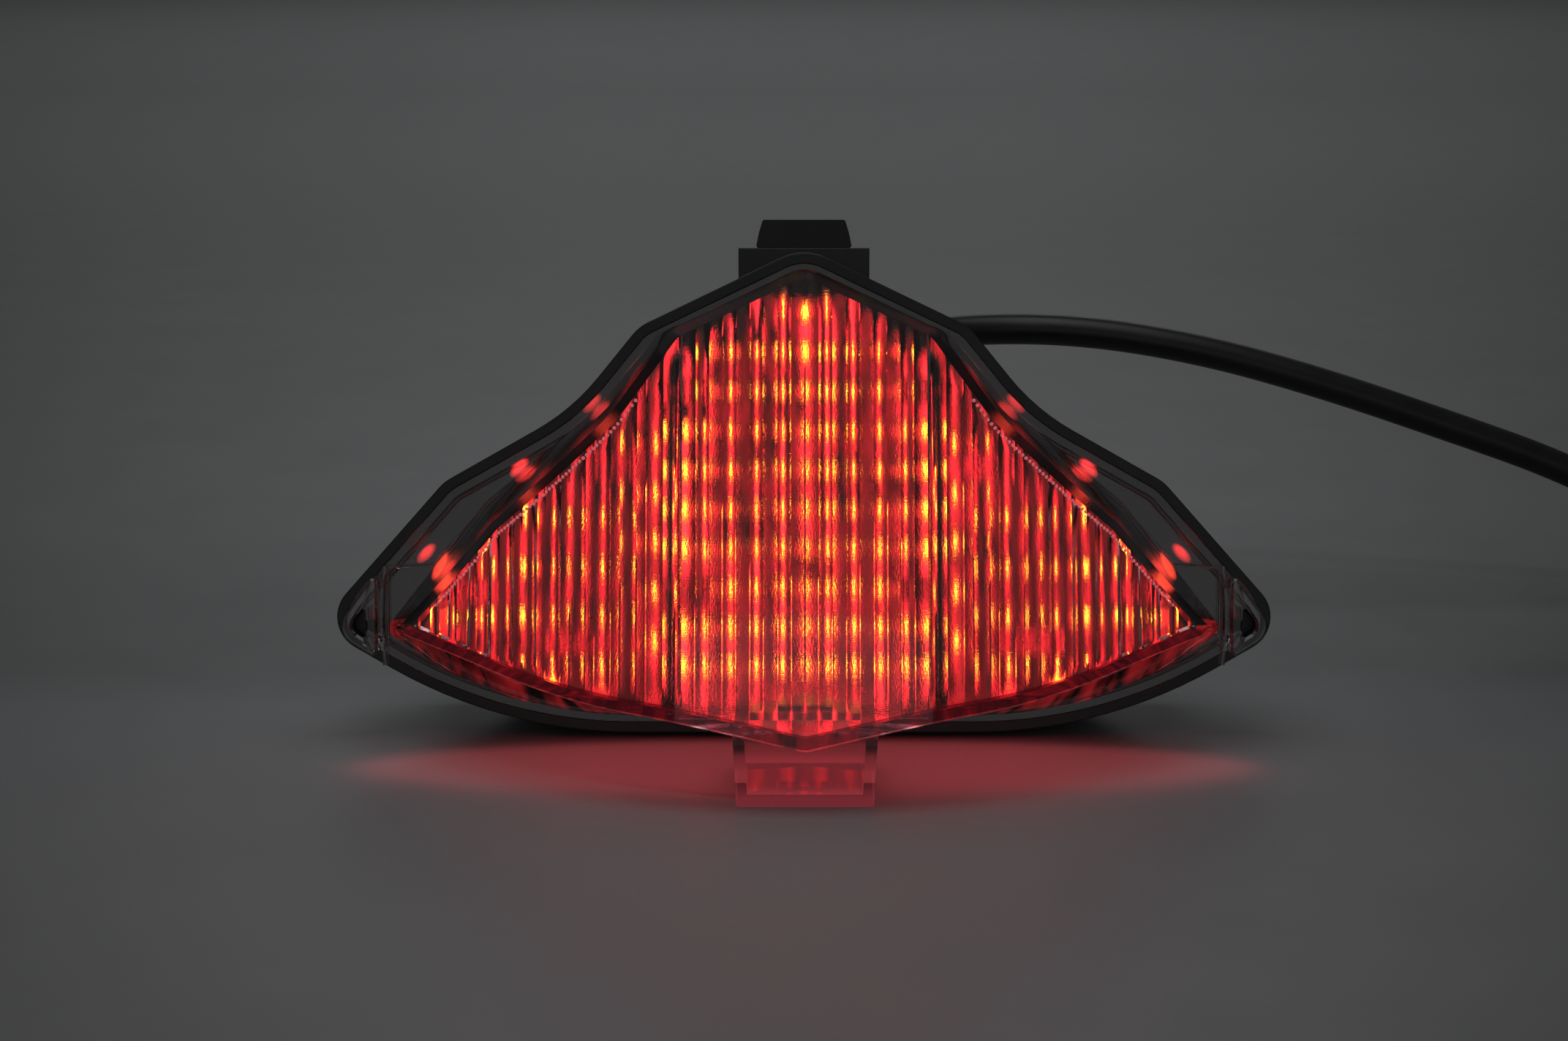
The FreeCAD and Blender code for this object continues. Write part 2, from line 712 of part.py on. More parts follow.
def axial_part(kind, x, up):
    """A resistor or diode on the back of the centre board, on its two leads."""
    radius, length = size(f"{kind}_radius"), size(f"{kind}_length")
    off = size("axial_stand_off")
    across = Vector(1, 0, 0)
    axis = board_back() + off
    along = Part.makeCylinder(radius, length, Vector(x - length / 2, axis, up), across)
    lead = Part.makeCylinder(size("axial_lead"), length + 2 * off,
                             Vector(x - length / 2 - off, axis, up), across)
    legs = [Part.makeCylinder(size("axial_leg"), off + 2 * size("axial_lead"),
                              Vector(x + side * (length / 2 + off), board_back(), up), Vector(0, 1, 0))
            for side in (-1, 1)]
    return fuse_all([along, lead] + legs)


def make_board_parts():
    """Resistors, diodes and the wire header on the back of the centre board."""
    resistors = [axial_part("resistor", x, up) for up in (30, 36, 42, 48) for x in (-12, 12)]
    feature("resistors", Part.makeCompound(resistors), leaning())
    diodes = [axial_part("diode", 0, up) for up in (24, 31, 38)]
    feature("diodes", Part.makeCompound(diodes), leaning())
    half, low = size("header_half"), size("header_up")
    header = box(-half, half, board_back(), board_back() + size("header_deep"),
                 low, low + size("header_high"))
    feature("wire_header", header, leaning())


def plate_board_top():
    return size("plate_board_up") + size("board_thick")


def make_plate_lamp():
    """The small board over the plate lamp window, its three lamps and the bracket that holds it."""
    half, low = size("plate_board_half"), size("plate_board_up")
    board = box(-half, half, -size("plate_board_front"), -size("plate_board_back"),
                low, plate_board_top())
    feature("plate_lamp_board", board, leaning())
    half, front, pitch = size("plate_lamp_half"), size("plate_lamp_front"), size("plate_lamp_pitch")
    lamps = [box(x - half, x + half, -front, size("plate_lamp_deep") - front,
                 low - size("plate_lamp_high"), low) for x in (-pitch, 0, pitch)]
    feature("plate_lamp_leds", Part.makeCompound(lamps), leaning())
    seat, half, thick = -size("centre_board_front"), size("bracket_half"), size("bracket_thick")
    low = plate_board_top()
    flange = box(-half, half, seat - thick, seat, low, low + size("bracket_flange"))
    strip = box(-half, half, -size("bracket_end"), seat, low, low + thick)
    feature("plate_lamp_bracket", fuse_all([flange, strip]), leaning())


def bracket_slot():
    """What the centre reflector leaves open for the bracket to pass."""
    gap = size("bracket_slot_gap")
    half = size("bracket_half") + gap
    low = plate_board_top() - gap
    high = plate_board_top() + size("bracket_flange") + gap
    return box(-half, half, -size("bracket_end"), 0, low, high)


# ---------------------------------------------------------------- cable, wires and connector

def rounded_path(points, report=None):
    """Straight runs joined by tangent arcs, each as large as its two runs allow."""
    points = [Vector(*point) for point in points]
    edges = []
    start = points[0]
    for index in range(1, len(points) - 1):
        back = points[index - 1] - points[index]
        ahead = points[index + 1] - points[index]
        half = (math.pi - back.getAngle(ahead)) / 2
        reach = 0.45 * min(back.Length, ahead.Length)
        radius = reach / math.tan(half)
        back.normalize()
        ahead.normalize()
        enter = points[index] + back * reach
        leave = points[index] + ahead * reach
        inward = (back + ahead).normalize()
        middle = points[index] + inward * (radius / math.cos(half) - radius)
        edges.append(Part.LineSegment(start, enter).toShape())
        edges.append(Part.Arc(enter, middle, leave).toShape())
        start = leave
        if report is not None:
            report.append(radius)
    edges.append(Part.LineSegment(start, points[-1]).toShape())
    return Part.Wire(edges)


def tube(points, radius, report=None):
    """A round bar along a rounded path."""
    path = rounded_path(points, report)
    first = Vector(*points[0])
    direction = Vector(*points[1]) - first
    ring = Part.Wire([Part.makeCircle(radius, first, direction)])
    solid = path.makePipeShell([ring], True, False)
    expected = math.pi * radius * radius * path.Length
    if abs(solid.Volume - expected) > 0.01 * expected:
        raise ValueError("the tube's volume does not match its section and length")
    return solid, path.Length


def make_grommet():
    """Rubber grommet in the back wall, with the tapered strain relief behind it."""
    x, up = size("cable_hole_x"), size("cable_hole_up")
    outside = size("tub_depth")
    inside_face = outside - size("tub_wall")
    end, flange, thick = size("grommet_end"), size("grommet_flange"), size("grommet_flange_thick")
    start = outside + thick
    relief = Part.makeCone(size("relief_radius"), size("cable_radius") + size("relief_wall"),
                           end - start, Vector(x, start, up), Vector(0, 1, 0))
    shape = fuse_all([rod(flange, x, up, -inside_face, thick - inside_face),
                      rod(size("grommet_neck"), x, up, -outside, -inside_face),
                      rod(flange, x, up, -start, -outside), relief])
    bore = rod(size("cable_radius") + 0.02, x, up, -end - 1, 0)
    feature("cable_grommet", shape.cut(bore), leaning())


def make_inner_cable():
    """The sheath's end inside the lamp, the tie that stops it pulling out, and the three cores."""
    x, up = size("cable_hole_x"), size("cable_hole_up")
    radius = size("cable_radius")
    feature("cable_inner_end", rod(radius, x, up, -size("grommet_end"), -16), leaning())
    tie = rod(radius + 1.6, x, up, -22, -19).cut(rod(radius + 0.02, x, up, -23, -18))
    feature("cable_stop_tie", tie, leaning())
    low = board_back() + size("header_deep") / 2
    for name, across in (("tail_wire", -2.4), ("stop_wire", 0.0), ("earth_wire", 2.4)):
        points = [(x + across, 16, up), (x + across, 8, up), (x * 0.5 + across, 3, up - 6),
                  (across * 1.3, low, up - 13),
                  (across * 1.3, low, size("header_up") + size("header_high"))]
        solid, _ = tube(points, size("wire_radius"))
        feature(name, solid, leaning())


def cable_route():
    """The cable's corners: straight out of the grommet, then the hand-set points."""
    x, up = size("cable_hole_x"), size("cable_hole_up")
    place = leaning()
    start = place.multVec(Vector(x, size("grommet_end"), up))
    out = place.multVec(Vector(x, size("grommet_end") + CABLE_EXIT_RUN, up))
    return [tuple(start), tuple(out)] + CABLE_POINTS


def make_cable():
    """The free cable from the grommet to the connector boot."""
    radii = []
    solid, length = tube(cable_route(), size("cable_radius"), radii)
    feature("cable", solid, FreeCAD.Placement())
    print("cable length", round(length, 1))
    print("cable route", [tuple(round(value, 2) for value in point) for point in cable_route()])
    print("cable bend radii", [round(radius, 1) for radius in radii])


def way_rod(kind, way, start, high):
    """A cylinder along one way of the connector."""
    return Part.makeCylinder(size(f"{kind}_radius"), size(f"{kind}_length"),
                             Vector(way, start, high / 2 - 1), Vector(0, 1, 0))


def make_connector():
    """Four-way connector on the cable's end: boot, housing, terminals, lock and thumb latch."""
    x, end, axis_up = CABLE_POINTS[-1]
    half, high, length = size("plug_half"), size("plug_height"), size("plug_length")
    back = end - size("boot_length")
    front = back - length
    boot = Part.makeCone(size("cable_radius") + 1.2, axis_up, size("boot_length"),
                         Vector(x, end, axis_up), Vector(0, -1, 0))
    feature("connector_boot", boot, FreeCAD.Placement())
    block = box(x - half, x + half, front, back, 0, high)
    ears = [box(x + side * 6.0 - 0.8, x + side * 6.0 + 0.8, back - 15, back - 11, high - 1, high + 4)
            for side in (-1, 1)]
    lock_half, lock_top = size("lock_half"), size("lock_top")
    lock_box = box(x - lock_half, x + lock_half, front, front + size("lock_length"),
                   lock_top - size("lock_high"), lock_top)
    pivot_y, pivot_up = back - 13, high + 2.2
    pin_hole = Part.makeCylinder(size("latch_pin") + size("latch_clearance"), 20,
                                 Vector(x - 10, pivot_y, pivot_up), Vector(1, 0, 0))
    ways = [x + size("way_pitch") * step for step in (-1.5, -0.5, 0.5, 1.5)]
    cavities = [way_rod("way", way, front, high) for way in ways]
    housing = fuse_all([block] + ears).cut(Part.makeCompound([lock_box, pin_hole] + cavities))
    feature("connector_housing", housing, FreeCAD.Placement())
    feature("connector_lock", lock_box, FreeCAD.Placement())
    start = front + size("way_length") - size("terminal_length")
    bore_length = size("terminal_length") - 3
    terminals = []
    for way in ways:
        bore = Part.makeCylinder(size("terminal_bore"), bore_length,
                                 Vector(way, start, high / 2 - 1), Vector(0, 1, 0))
        terminals.append(way_rod("terminal", way, start, high).cut(bore))
    feature("connector_terminals", Part.makeCompound(terminals), FreeCAD.Placement())
    make_latch(x, front, pivot_y, pivot_up, high)


def make_latch(x, front, pivot_y, pivot_up, high):
    """Rocking latch: the hook at the front, the thumb pad at the back, on its own pivot pin."""
    lever = box(x - 4.4, x + 4.4, front - 0.5, pivot_y + 9, high + 1.4, high + 3.0)
    hook = box(x - 4.4, x + 4.4, front - 2.5, front - 0.5, high - 0.2, high + 3.0)
    pad = box(x - 4.4, x + 4.4, pivot_y + 5, pivot_y + 9, high + 3.0, high + 4.2)
    pin = Part.makeCylinder(size("latch_pin"), 13.4, Vector(x - 6.7, pivot_y, pivot_up),
                            Vector(1, 0, 0))
    feature("connector_latch", fuse_all([lever, hook, pad, pin]), FreeCAD.Placement())


# ---------------------------------------------------------------- build, check and export

NODES = ["rear_housing", "lens_gasket", "outer_lens", "plate_lamp_window", "top_tab_cushion",
         "brass_inserts", "vent_cap", "vent_membrane", "board_screws", "lens_screws",
         "centre_board", "centre_leds", "centre_reflector", "left_wing_board", "left_wing_leds",
         "left_wing_reflector", "right_wing_board", "right_wing_leds", "right_wing_reflector",
         "resistors", "diodes", "wire_header", "plate_lamp_board", "plate_lamp_leds",
         "plate_lamp_bracket", "cable_grommet", "cable_inner_end", "cable_stop_tie", "tail_wire",
         "stop_wire", "earth_wire", "cable", "connector_boot", "connector_housing",
         "connector_lock", "connector_terminals", "connector_latch"]


def check_document():
    """Stop if any object failed, or any sub-part has no valid shape."""
    for item in document.Objects:
        if "Invalid" in item.State or "Error" in item.State:
            raise ValueError(f"{item.Label} failed: {item.State}")
    for name in NODES:
        shape = labelled(name).Shape
        if shape.isNull() or not shape.isValid() or not shape.Solids:
            raise ValueError(f"{name} has no valid solid")


def labelled(name):
    return document.getObjectsByLabel(name)[0]


def build():
    make_rear_housing()
    make_lens_gasket()
    pod_outside = make_outer_lens()
    document.recompute()
    make_plate_lamp_window(pod_outside)
    make_top_cushion()
    make_brass_inserts()
    make_vent()
    make_screws()
    make_led_groups()
    make_board_parts()
    make_plate_lamp()
    make_grommet()
    make_inner_cable()
    make_cable()
    make_connector()
    document.recompute()
    check_document()
    os.makedirs("parts", exist_ok=True)
    for name in NODES:
        labelled(name).Shape.exportStep(f"parts/{name}.step")


build()
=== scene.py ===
import json
import math

import bmesh
import bpy
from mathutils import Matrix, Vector


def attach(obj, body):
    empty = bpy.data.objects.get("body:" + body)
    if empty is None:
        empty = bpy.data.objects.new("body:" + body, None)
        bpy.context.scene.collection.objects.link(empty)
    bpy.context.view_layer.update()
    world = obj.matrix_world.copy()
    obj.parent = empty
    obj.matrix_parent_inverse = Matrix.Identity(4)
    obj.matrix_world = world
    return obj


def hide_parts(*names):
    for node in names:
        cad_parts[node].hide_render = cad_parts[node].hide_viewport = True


# Motorcycle tail light: its visible pieces and their materials.
# Shapes are worked out in the lamp's own frame, in millimetres: across, out of the lens, and up
# along the rim, which leans back.

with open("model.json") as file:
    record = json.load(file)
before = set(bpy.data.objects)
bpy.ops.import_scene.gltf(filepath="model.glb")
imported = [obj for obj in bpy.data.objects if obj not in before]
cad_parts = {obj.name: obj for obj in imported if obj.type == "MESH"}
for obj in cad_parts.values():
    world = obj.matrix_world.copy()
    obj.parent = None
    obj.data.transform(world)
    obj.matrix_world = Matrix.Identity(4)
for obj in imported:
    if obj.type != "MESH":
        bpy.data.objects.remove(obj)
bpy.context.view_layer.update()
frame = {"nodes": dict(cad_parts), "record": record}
nodes = frame["nodes"]
mounts = {mount["name"]: mount for mount in frame["record"]["mounts"]}

# The threaded inserts' place in the lamp's frame ties it to the row frame.
INSERTS_OUT, INSERTS_UP = -31.0, 48.0
BACK = Vector(mounts["rear_inserts"]["axis"])
ACROSS = Vector((1.0, 0.0, 0.0))
UP = ACROSS.cross(BACK)
START = Vector(mounts["rear_inserts"]["pos_m"]) + BACK * INSERTS_OUT / 1000 - UP * INSERTS_UP / 1000


def at(x, out, up):
    """A point of the lamp's frame, as a place in the row frame in metres."""
    return START + (ACROSS * x - BACK * out + UP * up) / 1000


def lamp_place(point):
    """A place in the row frame, as across, out and up in the lamp's frame."""
    away = (point - START) * 1000
    return away.dot(ACROSS), -away.dot(BACK), away.dot(UP)


# ---------------------------------------------------------------- outlines

# Corners of the right half of each outline, from bottom to top: across, up, corner radius.
RIM = [(68.1, 0.0, 110.0), (110.3, 24.3, 8.0), (81.4, 57.0, 10.0),
       (52.4, 73.4, 50.0), (37.2, 92.1, 10.0), (0.0, 110.0, 12.0)]
POD_ROOT = [(0.0, 3.2, 20.0), (66.0, 4.4, 90.0), (95.2, 23.2, 2.5), (72.5, 52.0, 12.0),
            (46.5, 74.0, 45.0), (32.5, 91.0, 7.0), (0.0, 106.0, 8.0)]
POD_FRONT = [(0.0, 2.5, 5.0), (45.7, 13.3, 90.0), (75.2, 29.0, 2.0), (63.3, 46.3, 12.0),
             (39.8, 72.2, 40.0), (26.0, 92.8, 6.0), (0.0, 105.5, 7.0)]
SMALLEST_CORNER = 0.6
SHORTEST_SPAN = 1e-9


def whole(half):
    """All corners of an outline, from its right half."""
    return half + [(-x, up, radius) for x, up, radius in reversed(half) if x > 0]


def inset(corners, distance):
    """The same outline moved inwards by a distance, for corners listed anticlockwise."""
    if not distance:
        return corners
    count = len(corners)
    lines = []
    for index in range(count):
        x1, z1, _ = corners[index]
        x2, z2, _ = corners[(index + 1) % count]
        length = math.hypot(x2 - x1, z2 - z1)
        along = ((x2 - x1) / length, (z2 - z1) / length)
        lines.append(((x1 - along[1] * distance, z1 + along[0] * distance), along))
    moved = []
    for index in range(count):
        (ax, az), (adx, adz) = lines[index - 1]
        (bx, bz), (bdx, bdz) = lines[index]
        cross = adx * bdz - adz * bdx
        step = ((bx - ax) * bdz - (bz - az) * bdx) / cross
        radius = corners[index][2]
        radius = radius - distance if cross > 0 else radius + distance
        moved.append((ax + adx * step, az + adz * step, max(radius, SMALLEST_CORNER)))
    return moved


def outline(corners, arc, run):
    """Points round an outline: the same number for each corner and each straight run."""
    count = len(corners)
    arcs = []
    for index in range(count):
        here = Vector(corners[index][:2])
        back = (Vector(corners[index - 1][:2]) - here).normalized()
        ahead = (Vector(corners[(index + 1) % count][:2]) - here).normalized()
        half = back.angle(ahead) / 2
        radius = corners[index][2]
        middle = here + (back + ahead).normalized() * radius / math.sin(half)
        first = here + back * radius / math.tan(half) - middle
        last = here + ahead * radius / math.tan(half) - middle
        sweep = first.angle_signed(last)
        points = []
        for step in range(arc + 1):
            turn = -sweep * step / arc
            points.append(middle + Vector((first.x * math.cos(turn) - first.y * math.sin(turn),
                                           first.x * math.sin(turn) + first.y * math.cos(turn))))
        arcs.append(points)
    path = []
    for index, points in enumerate(arcs):
        path += points
        following = arcs[(index + 1) % count][0]
        path += [points[-1].lerp(following, step / run) for step in range(1, run)]
    return path


def spread(path, count):
    """That many points at even distances round a closed path."""
    closed = path + path[:1]
    lengths = [0.0]
    for first, second in zip(closed, closed[1:]):
        lengths.append(lengths[-1] + (second - first).length)
    points = []
    index = 0
    for step in range(count):
        target = lengths[-1] * step / count
        while lengths[index + 1] < target:
            index += 1
        span = max(lengths[index + 1] - lengths[index], SHORTEST_SPAN)
        share = (target - lengths[index]) / span
        points.append(closed[index].lerp(closed[index + 1], share))
    return points


def level(path, out):
    """The points of an outline, as places at one distance out."""
    return [at(point.x, out, point.y) for point in path]


def nearest(path, point):
    """The point of a path that is nearest to a point."""
    return min(path, key=lambda other: (other - point).length_squared)


# ---------------------------------------------------------------- meshes

WELD = 1e-7


def put(name, data):
    """A new object in the scene."""
    thing = bpy.data.objects.new(name, data)
    bpy.context.scene.collection.objects.link(thing)
    return thing


def new_piece(name, points, groups, smooth_angle):
    """A mesh piece from points of the row frame, shaded smooth up to an angle in degrees.
    Each group of faces takes the piece's next material."""
    mesh = bpy.data.meshes.new(name)
    faces = [face for group in groups for face in group]
    mesh.from_pydata([tuple(point) for point in points], [], faces)
    slots = [slot for slot, group in enumerate(groups) for face in group]
    mesh.polygons.foreach_set("material_index", slots)
    work = bmesh.new()
    work.from_mesh(mesh)
    bmesh.ops.remove_doubles(work, verts=work.verts, dist=WELD)
    bmesh.ops.recalc_face_normals(work, faces=work.faces)
    sharp = math.radians(smooth_angle)
    for edge in work.edges:
        edge.smooth = len(edge.link_faces) == 2 and edge.calc_face_angle() < sharp
    for face in work.faces:
        face.smooth = True
    work.to_mesh(mesh)
    work.free()
    return put(name, mesh)


def ring_faces(first, second, count):
    """Quads between two closed loops of points, given where each starts."""
    return [(first + i, first + (i + 1) % count, second + (i + 1) % count, second + i)
            for i in range(count)]


def lathe_loops(loops):
    """Points and faces of loops of equal length, each joined to the next, and the last to the
    first."""
    count = len(loops[0])
    points = [point for loop in loops for point in loop]
    faces = []
    for index in range(len(loops)):
        faces += ring_faces(index * count, ((index + 1) % len(loops)) * count, count)
    return points, faces


# ---------------------------------------------------------------- the pod of the lens

# The face is a cylinder that leans back more than the rim. Its tip is given as out and up.
FACE_RADIUS = 130.0
FACE_RAKE = math.radians(11.3)
FACE_TIP = (52.5, 2.5)
POD_DEPTH = 55.0
WALL = 2.4
FLANGE = 2.6

# Half the length of the face's arc, along which the flutes' places are measured.
FACE_HALF = 100.5
FACE_ROWS = 36
POD_ARC, POD_RUN = 24, 30
HALVINGS = 40
SHORTEST_TURN = 1e-12

# The plain lip below the flutes: how high it is at the tip, at the sides and on the inside.
LIP_TIP, LIP_SIDE, LIP_INSIDE = 3.4, 1.9, 0.3
LIP_ROWS = 3

# Each flute looks to both sides of its middle, by its reach at the depth of the lamps' tips.
# Reaches swing along the face: how much, and how fast.
CENTRE_END, CENTRE_FLUTE, CENTRE_REACHES = 26.0, 3.1, (2.0, 3.9)
CENTRE_SWING, CENTRE_RATE = 0.4, 2.3
WIDE_FLUTE, WIDE_REACH = 4.4, 6.6
WING_END, WING_PITCH, WING_FLUTE, WING_REACH = 104.0, 6.2, 4.0, 4.7
WING_SWING, WING_RATE = 0.5, 1.7
RIB_REACH = 1.6
FLUTE_STEPS = 10

# A flute thickens the lens by this times its width and reach, over its distance from the tips
# of the lamps. It is 1 over 4 times the amount by which the index of refraction is above 1.
CROWN = 0.43
NEAREST_TIPS = 4.0
DEEPEST_FLUTE = 0.7

# Half the width of the centre, and how far out the lamps' tips are in it and in the wings.
CENTRE_HALF, CENTRE_TIPS, WING_TIPS = 28.0, 16.6, 9.6

# Heights over which the flutes fade out at their lower and upper ends.
LOWER_FADE, UPPER_FADE = 0.7, 1.2

# The knurled row on each side: how many beads, the turn where they start and how far they go
# round, their place below the edge of the face and behind it, and their radius in metres.
BEADS = 64
BEADS_START, BEADS_SWEEP = 0.29, 0.4
BEADS_BELOW_EDGE, BEADS_BEHIND_FACE = 1.1, 0.3
BEAD_RADIUS = 0.0004


def face_gap(x, out, up, radius):
    """How far a point is in front of the face cylinder of that radius."""
    rise = ((out - FACE_TIP[0]) * math.cos(FACE_RAKE)
            + (up - FACE_TIP[1]) * math.sin(FACE_RAKE))
    return rise - (math.sqrt(max(radius * radius - x * x, 0.0)) - FACE_RADIUS)


def face_point(turn, height, radius):
    """A point of the face cylinder: the turn round its axis, and the height along it."""
    rise = radius * math.cos(turn) - FACE_RADIUS
    out = FACE_TIP[0] + rise * math.cos(FACE_RAKE) - height * math.sin(FACE_RAKE)
    up = FACE_TIP[1] + rise * math.sin(FACE_RAKE) + height * math.cos(FACE_RAKE)
    return radius * math.sin(turn), out, up


def edge_of_face(root, front, back, radius):
    """Where each straight line of the pod's side meets the face: its turn, height and root
    point."""
    found = []
    for low, high in zip(root, front):
        start, end = 0.0, 1.0
        for _ in range(HALVINGS):
            middle = (start + end) / 2
            point = low.lerp(high, middle)
            out = back + (POD_DEPTH - back) * middle
            if face_gap(point.x, out, point.y, radius) < 0:
                start = middle
            else:
                end = middle
        point = low.lerp(high, start)
        out = back + (POD_DEPTH - back) * start
        turn = math.asin(point.x / radius)
        height = ((point.y - FACE_TIP[1]) * math.cos(FACE_RAKE)
                  - (out - FACE_TIP[0]) * math.sin(FACE_RAKE))
        found.append((turn, height, low))
    return found


def face_sides(wall, back):
    """Lower and upper halves of the edge of the face, each sorted by turn. The wall is 0 for
    the outside of the lens."""
    root = outline(inset(whole(POD_ROOT), wall), POD_ARC, POD_RUN)
    front = outline(inset(whole(POD_FRONT), wall), POD_ARC, POD_RUN)
    edge = edge_of_face(root, front, back, FACE_RADIUS - wall)
    count = len(edge)
    leftmost = min(range(count), key=lambda i: edge[i][0])
    rightmost = max(range(count), key=lambda i: edge[i][0])
    lower = [edge[(leftmost + i) % count] for i in range((rightmost - leftmost) % count + 1)]
    upper = [edge[(leftmost - i) % count] for i in range((leftmost - rightmost) % count + 1)]
    return lower, upper


def look_up(side, turn):
    """Height and root point of one side of the edge at a turn."""
    if turn <= side[0][0]:
        return side[0][1], side[0][2]
    for first, second in zip(side, side[1:]):
        if turn <= second[0]:
            share = (turn - first[0]) / max(second[0] - first[0], SHORTEST_TURN)
            return first[1] + (second[1] - first[1]) * share, first[2].lerp(second[2], share)
    return side[-1][1], side[-1][2]


def flutes():
    """Flutes of the right half of the lens: start and end along the face, and reach."""
    made = []
    start = 0.0
    while start < CENTRE_END:
        reach = CENTRE_REACHES[len(made) % 2] + CENTRE_SWING * math.sin(start * CENTRE_RATE)
        made.append((start, start + CENTRE_FLUTE, reach))
        start += CENTRE_FLUTE
    made.append((start, start + WIDE_FLUTE, WIDE_REACH))
    start += WIDE_FLUTE
    while start < WING_END:
        reach = WING_REACH + WING_SWING * math.sin(start * WING_RATE)
        made.append((start, start + WING_FLUTE, reach))
        made.append((start + WING_FLUTE, start + WING_PITCH, RIB_REACH))
        start += WING_PITCH
    return made


def flute_columns():
    """Places along the face, from left to right, and the strength of the flute at each."""
    half = []
    for start, end, reach in flutes():
        for step in range(FLUTE_STEPS):
            share = step / FLUTE_STEPS
            crown = 1 - (2 * share - 1) ** 2
            strength = CROWN * (end - start) * reach * crown
            half.append((start + (end - start) * share, strength))
    left = [(-place, strength) for place, strength in reversed(half[1:])]
    return left + half


def bulge_at(strength, out, x):
    """How much a flute thickens the lens, which is less further in front of the lamps."""
    tips = CENTRE_TIPS if abs(x) < CENTRE_HALF else WING_TIPS
    return min(strength / max(out - tips - WALL, NEAREST_TIPS), DEEPEST_FLUTE)


def pod_shell(wall, back, shares, strengths):
    """One side of the pod: columns of points from the lower root, over the face, to the upper
    root. The first rows of the face are the plain lip below the flutes."""
    radius = FACE_RADIUS - wall
    lower, upper = face_sides(wall, back)
    first, last = lower[0][0], lower[-1][0]
    columns = []
    for share, strength in zip(shares, strengths):
        turn = first + (last - first) * share
        low, low_root = look_up(lower, turn)
        high, high_root = look_up(upper, turn)
        lip = LIP_SIDE + (LIP_TIP - LIP_SIDE) * math.cos(turn) ** 3
        lip = min(lip, (high - low) / 3)
        if wall:
            lip = min(lip, LIP_INSIDE)
        column = [(low_root.x, back, low_root.y)]
        for row in range(FACE_ROWS + 1):
            if row <= LIP_ROWS:
                height = low + lip * (row / LIP_ROWS) ** 2
            else:
                share_up = (row - LIP_ROWS) / (FACE_ROWS - LIP_ROWS)
                height = low + lip + (high - low - lip) * share_up
            x, out, _ = face_point(turn, height, radius)
            bulge = bulge_at(strength, out, x) if strength else 0.0
            fade = min(1.0, (height - low - lip) / LOWER_FADE, (high - height) / UPPER_FADE)
            column.append(face_point(turn, height, radius - bulge * max(fade, 0.0)))
        column.append((high_root.x, back, high_root.y))
        columns.append(column)
    return columns


def make_pod():
    """The pod of the lens: smooth outside, fluted inside, closed round its root."""
    fluted = [(place, strength) for place, strength in flute_columns() if abs(place) < FACE_HALF]
    shares = [0.0] + [(place / FACE_HALF + 1) / 2 for place, _ in fluted] + [1.0]
    strengths = [0.0] + [strength for _, strength in fluted] + [0.0]
    outer = pod_shell(0.0, 0.0, shares, [0.0] * len(shares))
    inner = pod_shell(WALL, -FLANGE, shares, strengths)
    points = [at(*point) for shell in (outer, inner) for column in shell for point in column]
    height = FACE_ROWS + 3
    offset = len(outer) * height
    outside, inside, lip, edge, floor = [], [], [], [], []
    for index in range(len(outer) - 1):
        for row in range(height - 1):
            a = index * height + row
            b = offset + a
            group = edge if row == 1 else lip if 1 < row <= LIP_ROWS else outside
            group.append((a, a + height, a + height + 1, a + 1))
            group = inside if row else floor
            group.append((b, b + 1, b + height + 1, b + height))
        for row in (0, height - 1):
            a = index * height + row
            outside.append((a, offset + a, offset + a + height, a + height))
    return new_piece("lens_pod", points, [outside, inside, lip, edge, floor], smooth_angle=24.0)


def make_knurl():
    """A row of small beads on each side, inside the face, along the tops of the wing flutes."""
    _, upper = face_sides(WALL, -FLANGE)
    work = bmesh.new()
    for side in (-1, 1):
        for step in range(BEADS):
            turn = side * (BEADS_START + BEADS_SWEEP * step / (BEADS - 1))
            height = look_up(upper, turn)[0] - BEADS_BELOW_EDGE
            place = at(*face_point(turn, height, FACE_RADIUS - WALL - BEADS_BEHIND_FACE))
            made = bmesh.ops.create_icosphere(work, subdivisions=2, radius=BEAD_RADIUS)
            bmesh.ops.translate(work, verts=made["verts"], vec=place)
    for face in work.faces:
        face.smooth = True
    mesh = bpy.data.meshes.new("lens_knurl")
    work.to_mesh(mesh)
    work.free()
    return put("lens_knurl", mesh)


# ---------------------------------------------------------------- the rest of the lens

# The flange ends this far inside the rim's outline, and carries a half-round bead.
FLANGE_INSET = 2.5
FLANGE_POINTS = 720
RIM_ARC, RIM_RUN = 16, 16
ROOT_INSET, ROOT_ARC, ROOT_RUN = 0.02, 40, 60
BORDER_BEAD_INSET, BORDER_BEAD_RADIUS, BORDER_BEAD_STEPS = 4.8, 0.6, 8

# Corners of the right ear cup, and the inset and height of each loop from its foot to its floor.
EAR = [(96.0, 17.2, 1.2), (106.4, 23.6, 5.0), (96.0, 38.2, 1.2)]
EAR_LOOPS = [(0.0, 0.02), (0.0, 6.5), (0.5, 7.0), (2.0, 7.0), (2.6, 6.4), (2.6, 1.2)]
EAR_ARC, EAR_RUN = 12, 12

RIDGE_STEPS = 8

# The upright rib before each ear: place across, foot, height, bow outwards and radius.
RIB_ACROSS, RIB_FOOT, RIB_HIGH, RIB_BOW, RIB_RADIUS = 94.8, 15.4, 22.6, 0.9, 0.7
RIB_POINTS = 20

